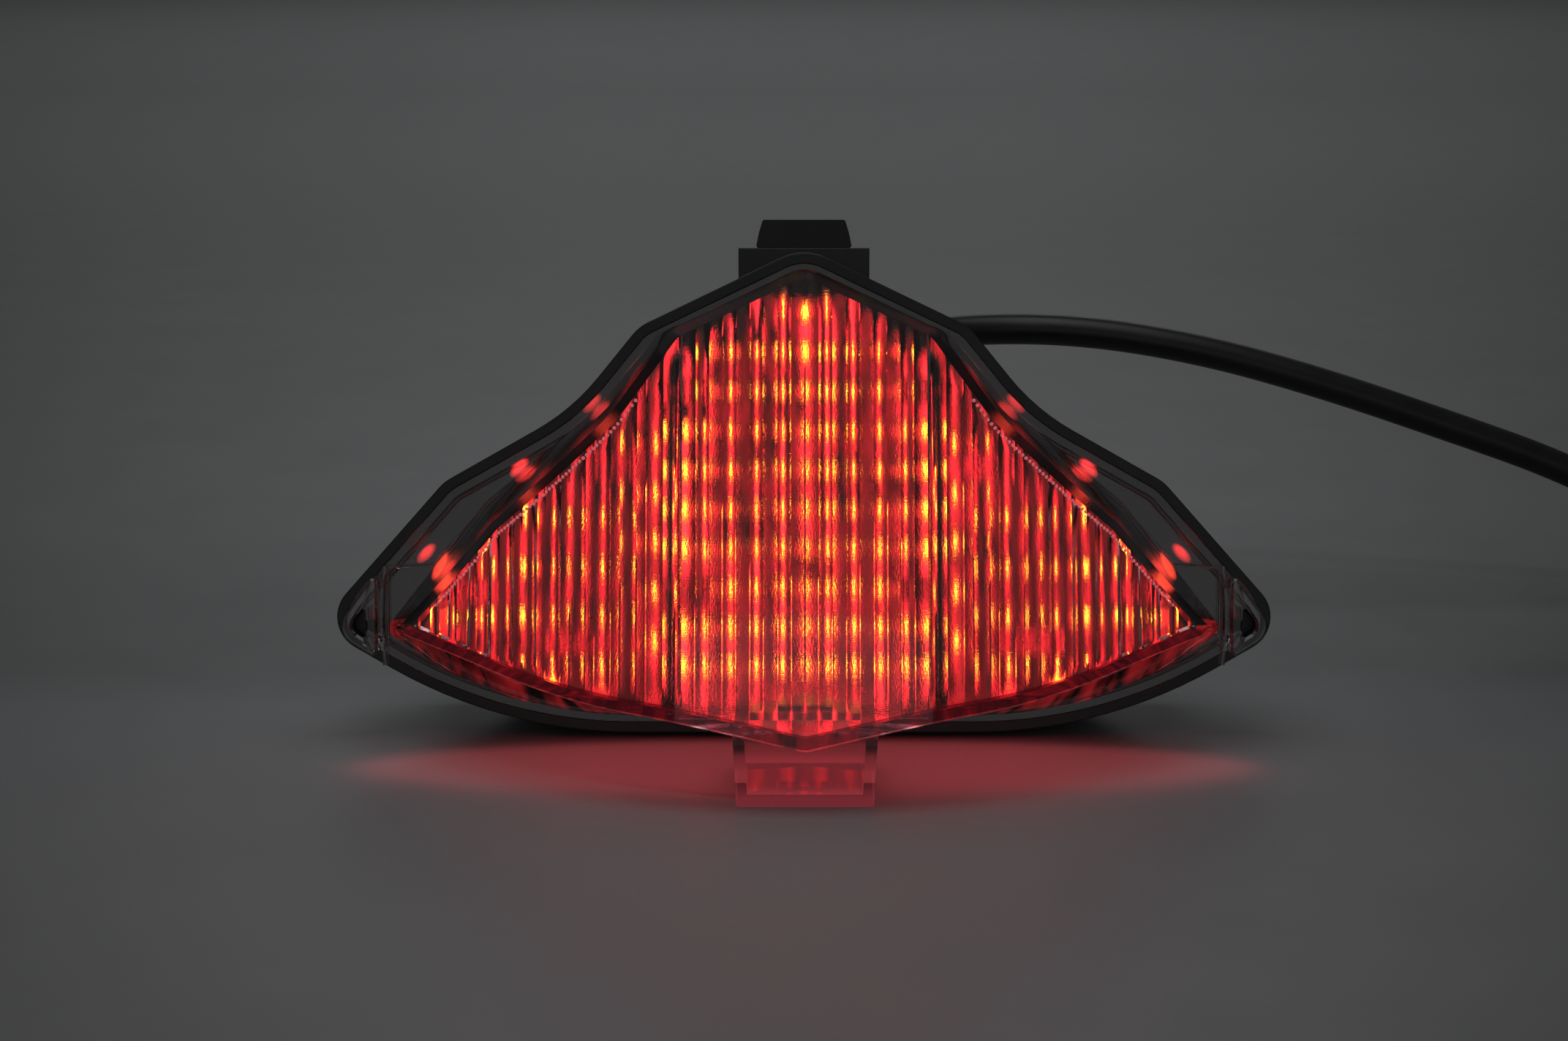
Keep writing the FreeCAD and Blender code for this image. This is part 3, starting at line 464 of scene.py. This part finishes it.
# The step line inside the rim: inset, range across, lowest point, radius and how it ends.
STEP_INSET, STEP_START, STEP_END, STEP_LOWEST = 10.6, 36.0, 94.0, 38.0
STEP_ARC, STEP_RUN = 12, 24
STEP_RADIUS = 0.35
STEP_FOOT = [(94.2, 37.6), (94.2, 20.0)]


def make_flange():
    """The flat border of the lens in the rim, with its raised bead."""
    border = outline(inset(whole(RIM), FLANGE_INSET), RIM_ARC, RIM_RUN)
    border = spread(border, FLANGE_POINTS)
    root = outline(inset(whole(POD_ROOT), ROOT_INSET), ROOT_ARC, ROOT_RUN)
    inner = [nearest(root, point) for point in border]
    loops = [level(border, -FLANGE), level(border, 0.0)]
    for step in range(BORDER_BEAD_STEPS + 1):
        turn = math.pi * step / BORDER_BEAD_STEPS
        distance = BORDER_BEAD_INSET - BORDER_BEAD_RADIUS * math.cos(turn)
        path = outline(inset(whole(RIM), distance), RIM_ARC, RIM_RUN)
        loops.append(level(spread(path, FLANGE_POINTS), BORDER_BEAD_RADIUS * math.sin(turn)))
    loops += [level(inner, 0.0), level(inner, -FLANGE)]
    points, faces = lathe_loops(loops)
    return new_piece("lens_flange", points, [faces], smooth_angle=40.0)


def make_ear(name, side):
    """The clear cup at one end of the flange: a three-cornered wall round a deep pocket. The pocket
    takes the second material, a black that is painted shade in the pocket together with the black
    housing seen through it.
    """
    corners = [(side * x, up, radius) for x, up, radius in EAR]
    if side < 0:
        corners.reverse()
    loops = [level(outline(inset(corners, distance), EAR_ARC, EAR_RUN), out)
             for distance, out in EAR_LOOPS]
    count = len(loops[0])
    points = [point for loop in loops for point in loop]
    floor = len(loops) - 1
    wall = []
    for index in range(floor - 1):
        wall += ring_faces(index * count, (index + 1) * count, count)
    wall.append(tuple(range(count)))
    pocket = ring_faces((floor - 1) * count, floor * count, count)
    pocket.append(tuple(reversed(range(floor * count, (floor + 1) * count))))
    return new_piece(name, points, [wall, pocket], smooth_angle=35.0)


def make_ridge(name, path, radius):
    """A half-round ridge that follows places given as across, out and up, closed at its ends."""
    points, faces = [], []
    outwards = Vector((0, 1, 0))
    for index, here in enumerate(path):
        ahead = Vector(path[min(index + 1, len(path) - 1)]) - Vector(path[max(index - 1, 0)])
        side = Vector((ahead.z, 0.0, -ahead.x)).normalized()
        for step in range(RIDGE_STEPS + 1):
            turn = math.pi * step / RIDGE_STEPS
            place = (Vector(here) + side * radius * math.cos(turn)
                     + outwards * radius * math.sin(turn))
            points.append(at(*place))
    width = RIDGE_STEPS + 1
    for index in range(len(path) - 1):
        faces += ring_faces(index * width, (index + 1) * width, width)
    faces.append(tuple(range(width)))
    faces.append(tuple(reversed(range((len(path) - 1) * width, len(path) * width))))
    return new_piece(name, points, [faces], smooth_angle=50.0)


def make_ridges():
    """The upright rib before each ear and the step line that runs on from it inside the rim."""
    made = []
    terrace = outline(inset(whole(RIM), STEP_INSET), STEP_ARC, STEP_RUN)
    for name, side in (("left", -1), ("right", 1)):
        rib = []
        for step in range(RIB_POINTS + 1):
            bow = RIB_BOW * math.sin(math.pi * step / RIB_POINTS)
            rib.append((side * (RIB_ACROSS + bow), 0.0, RIB_FOOT + RIB_HIGH * step / RIB_POINTS))
        line = [point for point in terrace
                if STEP_START < side * point.x < STEP_END and point.y > STEP_LOWEST]
        line.sort(key=lambda point: side * point.x)
        line = [(point.x, 0.0, point.y) for point in line]
        line += [(side * x, 0.0, up) for x, up in STEP_FOOT]
        made.append(make_ridge(f"lens_rib_{name}", rib, RIB_RADIUS))
        made.append(make_ridge(f"lens_step_{name}", line, STEP_RADIUS))
    return made


lens_pod = make_pod()
knurl = make_knurl()
lens_flange = make_flange()
ears = [make_ear("lens_ear_left", -1), make_ear("lens_ear_right", 1)]
ridges = make_ridges()
for piece in [knurl, lens_pod, lens_flange, *ears, *ridges]:
    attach(piece, "lamp")
    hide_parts("outer_lens")


# ---------------------------------------------------------------- lit chips inside the lamps

# Half the width and height of each lit ring and its depth below the tip of the lamp:
# the chip, the painted glow round it and the red cup, whose glow is painted too.
LIT_RINGS = [(0.14, 0.5, 4.4), (0.28, 0.95, 4.35), (1.4, 1.7, 3.7)]
RING_SIDES = 16
LAMP_WELD = 1e-6


def lamps_of(node):
    """Across, out and up of the tip of each lamp of a node, in the lamp's frame."""
    work = bmesh.new()
    work.from_mesh(nodes[node].data)
    bmesh.ops.remove_doubles(work, verts=work.verts, dist=LAMP_WELD)
    waiting = set(work.verts)
    found = []
    while waiting:
        group = [waiting.pop()]
        for vert in group:
            for edge in vert.link_edges:
                other = edge.other_vert(vert)
                if other in waiting:
                    waiting.remove(other)
                    group.append(other)
        across, outs, heights = zip(*(lamp_place(vert.co) for vert in group))
        found.append(((min(across) + max(across)) / 2, max(outs),
                      (min(heights) + max(heights)) / 2))
    work.free()
    return sorted(found)


def make_chips(name, node):
    """The lit chip inside each lamp, with a painted glow round it and its red cup, which glows with
    painted light.
    """
    points = []
    groups = [[] for _ in LIT_RINGS]
    for x, tip, up in lamps_of(node):
        start = len(points)
        for wide, high, depth in LIT_RINGS:
            for step in range(RING_SIDES):
                turn = 2 * math.pi * step / RING_SIDES
                points.append(at(x + wide * math.cos(turn), tip - depth,
                                 up + high * math.sin(turn)))
        groups[0].append(tuple(range(start, start + RING_SIDES)))
        for ring in range(1, len(LIT_RINGS)):
            inner = start + (ring - 1) * RING_SIDES
            groups[ring] += ring_faces(inner, inner + RING_SIDES, RING_SIDES)
    piece = new_piece(name, points, groups, smooth_angle=10.0)
    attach(piece, "lamp")
    return piece


chip_pieces = [make_chips(f"{group}_chips", f"{group}_leds")
               for group in ("centre", "left_wing", "right_wing")]


# ---------------------------------------------------------------- materials

# Part of a noise's range that a change of colour takes up.
MOTTLE = (0.3, 0.7)
BEVEL_SAMPLES = 4


class Shader:
    """A Principled material with its node tree at hand."""

    def __init__(self, name):
        self.material = bpy.data.materials.new(name)
        self.material.use_nodes = True
        self.tree = self.material.node_tree
        self.shader = self.tree.nodes["Principled BSDF"]
        self.place = self.add("ShaderNodeTexCoord").outputs["Object"]

    def add(self, kind, **values):
        node = self.tree.nodes.new(kind)
        for key, value in values.items():
            setattr(node, key, value)
        return node

    def link(self, source, target):
        self.tree.links.new(source, target)

    def feed(self, name, source):
        """Link a source to the material's socket of that name."""
        self.link(source, self.shader.inputs[name])

    def set(self, **values):
        for key, value in values.items():
            self.shader.inputs[key.replace("_", " ")].default_value = value

    def axes(self):
        """The three parts of the place, by the letter of the axis."""
        split = self.add("ShaderNodeSeparateXYZ")
        self.link(self.place, split.inputs[0])
        return split.outputs

    def noise(self, scale, detail=3.0, stretch=(1, 1, 1)):
        mapping = self.add("ShaderNodeMapping")
        mapping.inputs["Scale"].default_value = stretch
        self.link(self.place, mapping.inputs["Vector"])
        noise = self.add("ShaderNodeTexNoise")
        noise.inputs["Scale"].default_value = scale
        noise.inputs["Detail"].default_value = detail
        self.link(mapping.outputs["Vector"], noise.inputs["Vector"])
        return noise.outputs["Fac"]

    def ramp(self, source, *stops):
        ramp = self.add("ShaderNodeValToRGB")
        while len(ramp.color_ramp.elements) < len(stops):
            ramp.color_ramp.elements.new(0.5)
        for element, (position, colour) in zip(ramp.color_ramp.elements, stops):
            element.position = position
            element.color = (*colour, 1.0)
        self.link(source, ramp.inputs["Fac"])
        return ramp.outputs["Color"]

    def math(self, operation, first, second=None):
        node = self.add("ShaderNodeMath", operation=operation)
        self.link(first, node.inputs[0])
        if isinstance(second, float):
            node.inputs[1].default_value = second
        elif second is not None:
            self.link(second, node.inputs[1])
        return node.outputs[0]

    def range(self, source, low, high, from_low=0.0, from_high=1.0):
        node = self.add("ShaderNodeMapRange")
        node.inputs["From Min"].default_value = from_low
        node.inputs["From Max"].default_value = from_high
        node.inputs["To Min"].default_value = low
        node.inputs["To Max"].default_value = high
        self.link(source, node.inputs["Value"])
        return node.outputs["Result"]

    def mottle(self, scale, dark, light, detail=3.0):
        """A colour that wanders between two."""
        return self.ramp(self.noise(scale, detail), (MOTTLE[0], dark), (MOTTLE[1], light))

    def around(self, scale, middle, swing):
        """A value that wanders round a middle."""
        return self.range(self.noise(scale), middle - swing, middle + swing)

    def bump(self, height, distance, base=None):
        node = self.add("ShaderNodeBump")
        node.inputs["Strength"].default_value = 1.0
        node.inputs["Distance"].default_value = distance
        self.link(height, node.inputs["Height"])
        if base is not None:
            self.link(base, node.inputs["Normal"])
        return node.outputs["Normal"]

    def soft_edges(self, radius):
        node = self.add("ShaderNodeBevel", samples=BEVEL_SAMPLES)
        node.inputs["Radius"].default_value = radius
        return node.outputs["Normal"]


def moulded(name, dark, light, rough, grain=2500.0, edge=0.0):
    """Moulded plastic or rubber: mottled colour, fine grain and soft edges."""
    made = Shader(name)
    made.feed("Base Color", made.mottle(60.0, dark, light, detail=4.0))
    made.feed("Roughness", made.around(240.0, rough, swing=0.08))
    base = made.soft_edges(edge) if edge else None
    made.feed("Normal", made.bump(made.noise(grain, detail=2.0), 0.00002, base))
    return made.material


def metal(name, dark, light, rough):
    """Metal with slight changes of colour and polish."""
    made = Shader(name)
    made.feed("Base Color", made.mottle(300.0, dark, light))
    made.feed("Roughness", made.around(900.0, rough, swing=0.07))
    made.feed("Normal", made.bump(made.noise(4000.0), 0.000004))
    made.set(Metallic=1.0)
    return made.material


def glowing(name, dark, light, strength):
    """A lit surface whose light varies slightly over it."""
    made = Shader(name)
    made.feed("Emission Color", made.mottle(900.0, dark, light))
    made.set(Base_Color=(0.3, 0.02, 0.02, 1.0), Roughness=0.5, Emission_Strength=strength)
    return made.material


def glow_painted_plate(name, strength, pitch, first):
    """Grey plate with a painted red glow that stands in for the lamps' light washing over it, most
    of all along their columns.
    The columns are a pitch apart, from the first one's distance across, in metres."""
    made = Shader(name)
    made.feed("Base Color", made.mottle(60.0, (0.04, 0.025, 0.026), (0.07, 0.045, 0.046)))
    side = made.math("ABSOLUTE", made.axes()["X"])
    phase = made.math("MULTIPLY", made.math("SUBTRACT", side, first), 2 * math.pi / pitch)
    column = made.range(made.math("COSINE", phase), 0.3, 1.0, from_low=-0.4)
    column = made.math("POWER", column, 2.0)
    patch = made.noise(150.0, stretch=(2.5, 2.5, 0.4))
    patch = made.range(patch, 0.0, 2.0, from_low=0.32, from_high=0.68)
    # Painted glow: emission along the columns of lamps, broken into patches, standing in for their
    # light on the plate.
    glow = made.math("MULTIPLY", made.math("MULTIPLY", column, patch), strength)
    made.set(Emission_Color=(1.0, 0.022, 0.03, 1.0), Roughness=0.4)
    made.feed("Emission Strength", glow)
    return made.material


# The lamps' images in the clear wall are painted: glowing ovals just in front of the rim, which
# stand in for the lamps seen through the wall. The numbers are how much the rim leans back per
# height, how far out the ovals' middle is, half their depth, length and width, and where they start
# and end to fade.
LEAN = 0.176
IMAGE_OUT, IMAGE_DEEP, IMAGE_LONG, IMAGE_WIDE = 0.011, 0.007, 0.0037, 0.0017
IMAGE_FADE = (0.7, 1.6)


def painted_lamp_images(made, places):
    """Painted glowing oval spots, slanted, that stand in for images of the lamps. Each place is
    across and height, in millimetres, and strength.
    """
    axes = made.axes()
    side = made.math("ABSOLUTE", axes["X"])
    along = made.math("SUBTRACT", axes["Z"], side)
    across = made.math("ADD", axes["Z"], side)
    out = made.math("SUBTRACT", made.math("MULTIPLY", axes["Z"], LEAN), axes["Y"])
    depth = made.math("DIVIDE", made.math("SUBTRACT", out, IMAGE_OUT), IMAGE_DEEP)
    total = None
    for x, height, strength in places:
        first = made.math("SUBTRACT", along, (height - x) / 1000)
        first = made.math("DIVIDE", first, IMAGE_LONG)
        second = made.math("SUBTRACT", across, (height + x) / 1000)
        second = made.math("DIVIDE", second, IMAGE_WIDE)
        far = made.math("ADD", made.math("MULTIPLY", first, first),
                        made.math("MULTIPLY", second, second))
        far = made.math("ADD", far, made.math("MULTIPLY", depth, depth))
        spot = made.range(far, strength, 0.0, *IMAGE_FADE)
        total = spot if total is None else made.math("ADD", total, spot)
    return total


def clear(name, tint, ripples=((1500.0, (1.0, 1.0, 1.0), 0.000003),), index=1.58, shade=None,
          glow=None, shine=0.5, images=None, painted_low_glow=None, lines=None):
    """Clear plastic that lets light through to what is behind it, coloured by its shade.
    Each ripple is a noise's scale, how it is stretched, and its height. The glow is painted light
    on the plastic:
    a colour and a strength. It can be made of painted lamp images, or be broken into lines, whose
    scale is given, or
    be stronger low down: the heights where that starts and ends to fade, and its strength."""
    made = Shader(name)
    made.set(Base_Color=(*tint, 1.0), Roughness=0.0, IOR=index, Transmission_Weight=1.0,
             Specular_IOR_Level=shine)
    if glow:
        *colour, strength = glow
        made.set(Emission_Color=(*colour, 1.0), Emission_Strength=strength)
    if images:
        made.feed("Emission Strength", painted_lamp_images(made, images))
    if painted_low_glow:
        full, faded, low_strength = painted_low_glow
        height = made.axes()["Z"]
        made.feed("Emission Strength", made.range(height, low_strength, strength, full, faded))
    if lines:
        streaks = made.noise(lines, detail=2.0, stretch=(1.0, 0.03, 0.03))
        streaks = made.range(streaks, 0.0, strength, from_low=0.42, from_high=0.62)
        made.feed("Emission Strength", streaks)
    normal = None
    for scale, stretch, height in ripples:
        normal = made.bump(made.noise(scale, detail=2.0, stretch=stretch), height, normal)
    made.feed("Normal", normal)
    path = made.add("ShaderNodeLightPath")
    through = made.add("ShaderNodeBsdfTransparent")
    through.inputs["Color"].default_value = (*(shade or tint), 1.0)
    mix = made.add("ShaderNodeMixShader")
    made.link(path.outputs["Is Shadow Ray"], mix.inputs[0])
    made.link(made.shader.outputs[0], mix.inputs[1])
    made.link(through.outputs[0], mix.inputs[2])
    made.link(mix.outputs[0], made.tree.nodes["Material Output"].inputs["Surface"])
    return made.material


def dress(piece, *finishes):
    """Give a piece these materials and no others."""
    if piece.data.materials:
        piece.data.materials.clear()
    for finish in finishes:
        piece.data.materials.append(finish)


black_shell = moulded("black_shell", (0.008, 0.008, 0.009), (0.014, 0.013, 0.014), 0.3,
                      edge=0.0005)
black_rubber = moulded("black_rubber", (0.012, 0.012, 0.012), (0.022, 0.021, 0.021), 0.62,
                       edge=0.0003)
black_nylon = moulded("black_nylon", (0.012, 0.012, 0.013), (0.020, 0.020, 0.021), 0.35,
                      edge=0.0003)
white_nylon = moulded("white_nylon", (0.62, 0.61, 0.56), (0.75, 0.74, 0.70), 0.4, edge=0.0002)
cable_skin = moulded("cable_skin", (0.008, 0.008, 0.008), (0.014, 0.013, 0.013), 0.38,
                     grain=1400.0)
board_green = moulded("board_green", (0.012, 0.045, 0.022), (0.02, 0.07, 0.035), 0.4)
beige_body = moulded("beige_body", (0.50, 0.38, 0.22), (0.62, 0.50, 0.33), 0.3)
diode_body = moulded("diode_body", (0.015, 0.015, 0.015), (0.03, 0.03, 0.03), 0.3)
wire_red = moulded("wire_red", (0.45, 0.02, 0.02), (0.6, 0.03, 0.03), 0.35)
wire_yellow = moulded("wire_yellow", (0.7, 0.5, 0.04), (0.8, 0.62, 0.06), 0.35)
membrane = moulded("membrane", (0.7, 0.7, 0.68), (0.85, 0.85, 0.83), 0.8)
brass = metal("brass", (0.62, 0.45, 0.18), (0.78, 0.60, 0.28), 0.3)
black_screw = metal("black_screw", (0.02, 0.02, 0.02), (0.04, 0.04, 0.04), 0.4)

# The plates around the lamps, with their painted red glow: strength of the painted glow, and pitch
# and first place of the columns of lamps.
centre_plate_painted_glow = glow_painted_plate("centre_plate_painted_glow", 2.3, 0.007, 0.0035)
wing_plate_painted_glow = glow_painted_plate("wing_plate_painted_glow", 1.25, 0.0112, 0.034)
board_painted_glow = glow_painted_plate("board_painted_glow", 1.3, 0.0031, 0.0)

# The chip stands for the lamp's own light. The glow round it and the glowing cup are painted light.
lit_chip = glowing("lit_chip", (1.0, 0.48, 0.025), (1.0, 0.58, 0.035), 11.0)
chip_halo_painted_glow = glowing("chip_halo_painted_glow", (1.0, 0.16, 0.01), (1.0, 0.24, 0.02), 3.0)
cup_painted_glow = glowing("cup_painted_glow", (1.0, 0.03, 0.035), (1.0, 0.05, 0.045), 1.1)
white_lamp = glowing("white_lamp", (0.9, 0.45, 0.4), (1.0, 0.6, 0.5), 0.06)

# The lens: the fluted inside, the outer wall, the flange, the floor, the plain lip, its edge,
# the number plate window, the knurled rows and plain clear parts. All but the fluted inside and the
# plain clear parts carry a painted glow. The floor, lip, edge, window and knurled rows also have a
# painted red tint.
RED_SHADE = (0.5, 0.32, 0.35)
UPRIGHT_RIPPLE = (9000.0, (0.04, 0.04, 1.0), 0.00002)
CROSS_RIPPLE = (2600.0, (1.0, 1.0, 0.05), 0.00003)
clear_face = clear("clear_face", (0.97, 0.94, 0.95), (UPRIGHT_RIPPLE, CROSS_RIPPLE),
                   shade=RED_SHADE)
# The outer wall and the flange glow with painted lamp images.
clear_outside_painted_images = clear("clear_outside_painted_images", (0.97, 0.95, 0.96), shade=RED_SHADE,
                      glow=(1.0, 0.06, 0.03, 0.0),
                      images=[(81.7, 39.9, 0.9), (61.8, 58.6, 1.2), (45.6, 73.5, 0.7)])
clear_border_painted_images = clear("clear_border_painted_images", (0.96, 0.95, 0.96), glow=(1.0, 0.04, 0.04, 0.0),
                     images=[(85.5, 41.6, 0.6), (64.3, 60.7, 0.8), (47.8, 75.0, 0.4)])
# The pod's floor: its red tint and streaked glow are painted red light from the lamps.
clear_floor_painted_glow = clear("clear_floor_painted_glow", (0.6, 0.2, 0.23), glow=(1.0, 0.03, 0.04, 0.2), lines=420.0)
# The plain lip: its dark red tint is painted shade and red light, and its glow is painted light.
clear_lip_painted_shade_and_glow = clear("clear_lip_painted_shade_and_glow", (0.14, 0.03, 0.05), glow=(1.0, 0.03, 0.1, 0.025), shine=0.2)
# The lip's lower edge: its red tint and glow paint a bright highlight line.
clear_edge_painted_highlight = clear("clear_edge_painted_highlight", (0.9, 0.5, 0.55), glow=(1.0, 0.12, 0.15, 0.09))
# The number plate window: its pink tint and its glow, stronger low down, are painted red light.
clear_window_painted_glow = clear("clear_window_painted_glow", (0.88, 0.68, 0.71), glow=(1.0, 0.12, 0.16, 0.006),
                     shade=(0.92, 0.78, 0.8), painted_low_glow=(0.002, 0.0045, 0.08))
# The knurled rows: their red tint and glow paint bright glints on the beads.
clear_knurl_painted_glints = clear("clear_knurl_painted_glints", (0.9, 0.6, 0.65), glow=(1.0, 0.3, 0.34, 0.14))
clear_plain = clear("clear_plain", (0.96, 0.95, 0.96))
red_epoxy = clear("red_epoxy", (1.0, 0.7, 0.66), index=1.5)

FINISHES = {
    black_shell: ["rear_housing"],
    black_rubber: ["lens_gasket", "top_tab_cushion", "vent_cap", "cable_grommet",
                   "connector_boot"],
    black_nylon: ["cable_stop_tie", "connector_housing", "connector_latch"],
    board_green: ["centre_board", "left_wing_board", "right_wing_board"],
    # The reflectors carry a painted red glow.
    centre_plate_painted_glow: ["centre_reflector"],
    wing_plate_painted_glow: ["left_wing_reflector", "right_wing_reflector"],
    white_nylon: ["wire_header", "connector_lock"],
    beige_body: ["resistors"],
    diode_body: ["diodes", "earth_wire"],
    cable_skin: ["cable_inner_end", "cable"],
    wire_red: ["tail_wire"],
    wire_yellow: ["stop_wire"],
    membrane: ["vent_membrane"],
    brass: ["brass_inserts", "connector_terminals"],
    black_screw: ["lens_screws"],
    # The plate lamp's board, bracket and screws carry a painted red glow.
    board_painted_glow: ["plate_lamp_board", "plate_lamp_bracket", "board_screws"],
    red_epoxy: ["centre_leds", "left_wing_leds", "right_wing_leds"],
    white_lamp: ["plate_lamp_leds"],
    clear_window_painted_glow: ["plate_lamp_window"],
    clear_plain: ["outer_lens"],
}
for finish, names in FINISHES.items():
    for name in names:
        dress(nodes[name], finish)
dress(lens_pod, clear_outside_painted_images, clear_face, clear_lip_painted_shade_and_glow, clear_edge_painted_highlight, clear_floor_painted_glow)
dress(knurl, clear_knurl_painted_glints)
dress(lens_flange, clear_border_painted_images)
for ridge in ridges:
    dress(ridge, clear_plain)
# Each ear's pocket is dressed black: painted shade in the pocket, together with the black housing
# behind it.
for ear in ears:
    dress(ear, clear_plain, black_shell)
for piece in chip_pieces:
    dress(piece, lit_chip, chip_halo_painted_glow, cup_painted_glow)


# ---------------------------------------------------------------- cable

# Control points of the cable in the row frame, in millimetres, from the grommet to the boot.
CABLE_ROUTE = [
    (8.0, 57.08, 75.43), (8.0, 82.69, 70.92), (21.0, 105.3, 70.2), (43.5, 118.3, 70.9),
    (73.0, 119.5, 70.2), (104.0, 118.5, 65.2), (135.0, 117.0, 56.6), (166.0, 115.5, 46.2),
    (196.0, 114.0, 35.8), (224.0, 112.0, 22.0), (248.0, 108.0, 9.5), (272.0, 102.0, 4.0),
    (292.0, 86.6, 4.0), (303.0, 64.1, 6.0), (303.0, 40.0, 6.0),
]
CABLE_RADIUS = 0.004


def make_cable():
    """The free cable as one smooth round curve."""
    data = bpy.data.curves.new("tail_cable", "CURVE")
    data.dimensions = "3D"
    spline = data.splines.new("NURBS")
    spline.points.add(len(CABLE_ROUTE) - 1)
    for point, (x, y, z) in zip(spline.points, CABLE_ROUTE):
        point.co = (x / 1000, y / 1000, z / 1000, 1.0)
    spline.order_u = 3
    spline.use_endpoint_u = True
    spline.resolution_u = 12
    data.bevel_depth = CABLE_RADIUS
    data.bevel_resolution = 8
    data.use_fill_caps = True
    return put("tail_cable", data)


cable = make_cable()
dress(cable, cable_skin)
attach(cable, "lamp")
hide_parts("cable")


# ---------------------------------------------------------------- table, light and camera

TABLE_HALF = 5.0

# Painted shade and light on the table from near to far, darkest in a band just behind the lamp:
# share of the way between the two depths, and colour.
TABLE_NEAR, TABLE_FAR = 0.02, 1.72
TABLE_PAINTED_SHADES = [
    (0.0, (0.246, 0.250, 0.256)), (0.012, (0.246, 0.250, 0.256)),
    (0.027, (0.192, 0.194, 0.198)), (0.065, (0.206, 0.208, 0.212)),
    (0.125, (0.264, 0.266, 0.270)), (0.3, (0.34, 0.342, 0.346)), (0.55, (0.325, 0.327, 0.331)),
    (0.71, (0.29, 0.292, 0.296)), (0.95, (0.345, 0.348, 0.352)),
]

# Towards its sides the table is painted darker, as a painted falloff of the light: the half width
# at two depths, and the part of the half width over which it darkens.
WIDE_DEPTHS, WIDTHS = (-0.2, 1.65), (0.75, 3.06)
SIDE_FADE, SIDE_DARKEST = (0.05, 0.19), 0.68

STUDIO_WHITE = (0.98, 0.99, 1.0)
WORLD_COLOUR, WORLD_STRENGTH = (0.97, 0.985, 1.0, 1.0), 0.05

# Each studio light: name, place, target, width, height, power and spread in degrees.
STUDIO_LIGHTS = [
    ("softbox", (-0.03, 0.06, 0.46), (-0.03, 0.06, 0.0), 0.42, 0.3, 0.45, 180.0),
    ("strip", (-0.1, -0.3, 0.7), (0.0, 0.0, 0.05), 0.6, 0.03, 0.3, 180.0),
    ("front_card", (0.0, -1.7, 0.45), (0.0, 0.0, 0.05), 1.8, 0.8, 0.8, 180.0),
    ("far_wash", (0.0, 1.3, 1.1), (0.0, 1.3, 0.0), 2.0, 0.9, 0.8, 80.0),
    ("back_card", (0.0, 1.7, 0.8), (0.0, 0.0, 0.05), 1.2, 0.5, 1.2, 180.0),
]


def make_table():
    """A wide pale table that is also the backdrop, with painted shade and light: slow changes from
    near to far, and darker towards its sides.
    """
    corners = [(-TABLE_HALF, -TABLE_HALF, 0.0), (TABLE_HALF, -TABLE_HALF, 0.0),
               (TABLE_HALF, TABLE_HALF, 0.0), (-TABLE_HALF, TABLE_HALF, 0.0)]
    table = new_piece("table", corners, [[(0, 1, 2, 3)]], smooth_angle=60.0)
    made = Shader("table_top")
    axes = made.axes()
    cloud = made.noise(3.0, stretch=(0.8, 2.5, 1.0))
    depth = made.math("ADD", axes["Y"], made.math("MULTIPLY", cloud, 0.04))
    # Painted shade and light, by depth.
    shade = made.ramp(made.range(depth, 0.0, 1.0, TABLE_NEAR, TABLE_FAR), *TABLE_PAINTED_SHADES)
    width = made.range(axes["Y"], *WIDTHS, *WIDE_DEPTHS)
    side = made.math("DIVIDE", made.math("ABSOLUTE", axes["X"]), width)
    fall = made.add("ShaderNodeVectorMath", operation="SCALE")
    made.link(shade, fall.inputs[0])
    # Painted darkening towards the sides.
    made.link(made.range(side, 1.0, SIDE_DARKEST, *SIDE_FADE), fall.inputs["Scale"])
    made.feed("Base Color", fall.outputs[0])
    made.feed("Roughness", made.range(made.noise(30.0), 0.45, 0.6))
    made.feed("Normal", made.bump(made.noise(1200.0), 0.00001))
    dress(table, made.material)


def area_light(name, place, target, width, height, power, spread, colour=STUDIO_WHITE):
    """A rectangular light that points at a target. The camera doesn't see it."""
    data = bpy.data.lights.new(name, "AREA")
    data.shape = "RECTANGLE"
    data.size, data.size_y = width, height
    data.energy = power
    data.spread = math.radians(spread)
    data.color = colour
    light = put(name, data)
    light.location = place
    light.visible_camera = False
    towards = Vector(target) - Vector(place)
    light.rotation_euler = towards.to_track_quat("-Z", "Y").to_euler()
    return light


def make_light():
    """Weak studio light all round, and the red light that the lens throws on the table."""
    world = bpy.data.worlds.new("studio")
    world.use_nodes = True
    background = world.node_tree.nodes["Background"]
    background.inputs["Color"].default_value = WORLD_COLOUR
    background.inputs["Strength"].default_value = WORLD_STRENGTH
    bpy.context.scene.world = world
    for light in STUDIO_LIGHTS:
        area_light(*light)
    glow = area_light("lamp_glow", at(0, 22, 1), at(0, 21, -30), width=0.2, height=0.04,
                      power=0.014, spread=150.0, colour=(1.0, 0.15, 0.17))
    glow.data.shape = "ELLIPSE"
    glow.visible_glossy = False
    glow.visible_transmission = False


def make_camera():
    """The camera, in front of the lamp and looking down at it."""
    data = bpy.data.cameras.new("camera")
    data.sensor_width = 36.0
    data.lens = 79.3
    data.clip_start = 0.01
    camera = put("camera", data)
    camera.location = (-0.0045, -0.7567, 0.238)
    camera.rotation_euler = (math.radians(76.0), 0.0, 0.0)
    bpy.context.scene.camera = camera


make_table()
make_light()
make_camera()
bpy.context.scene.view_settings.view_transform = "Standard"
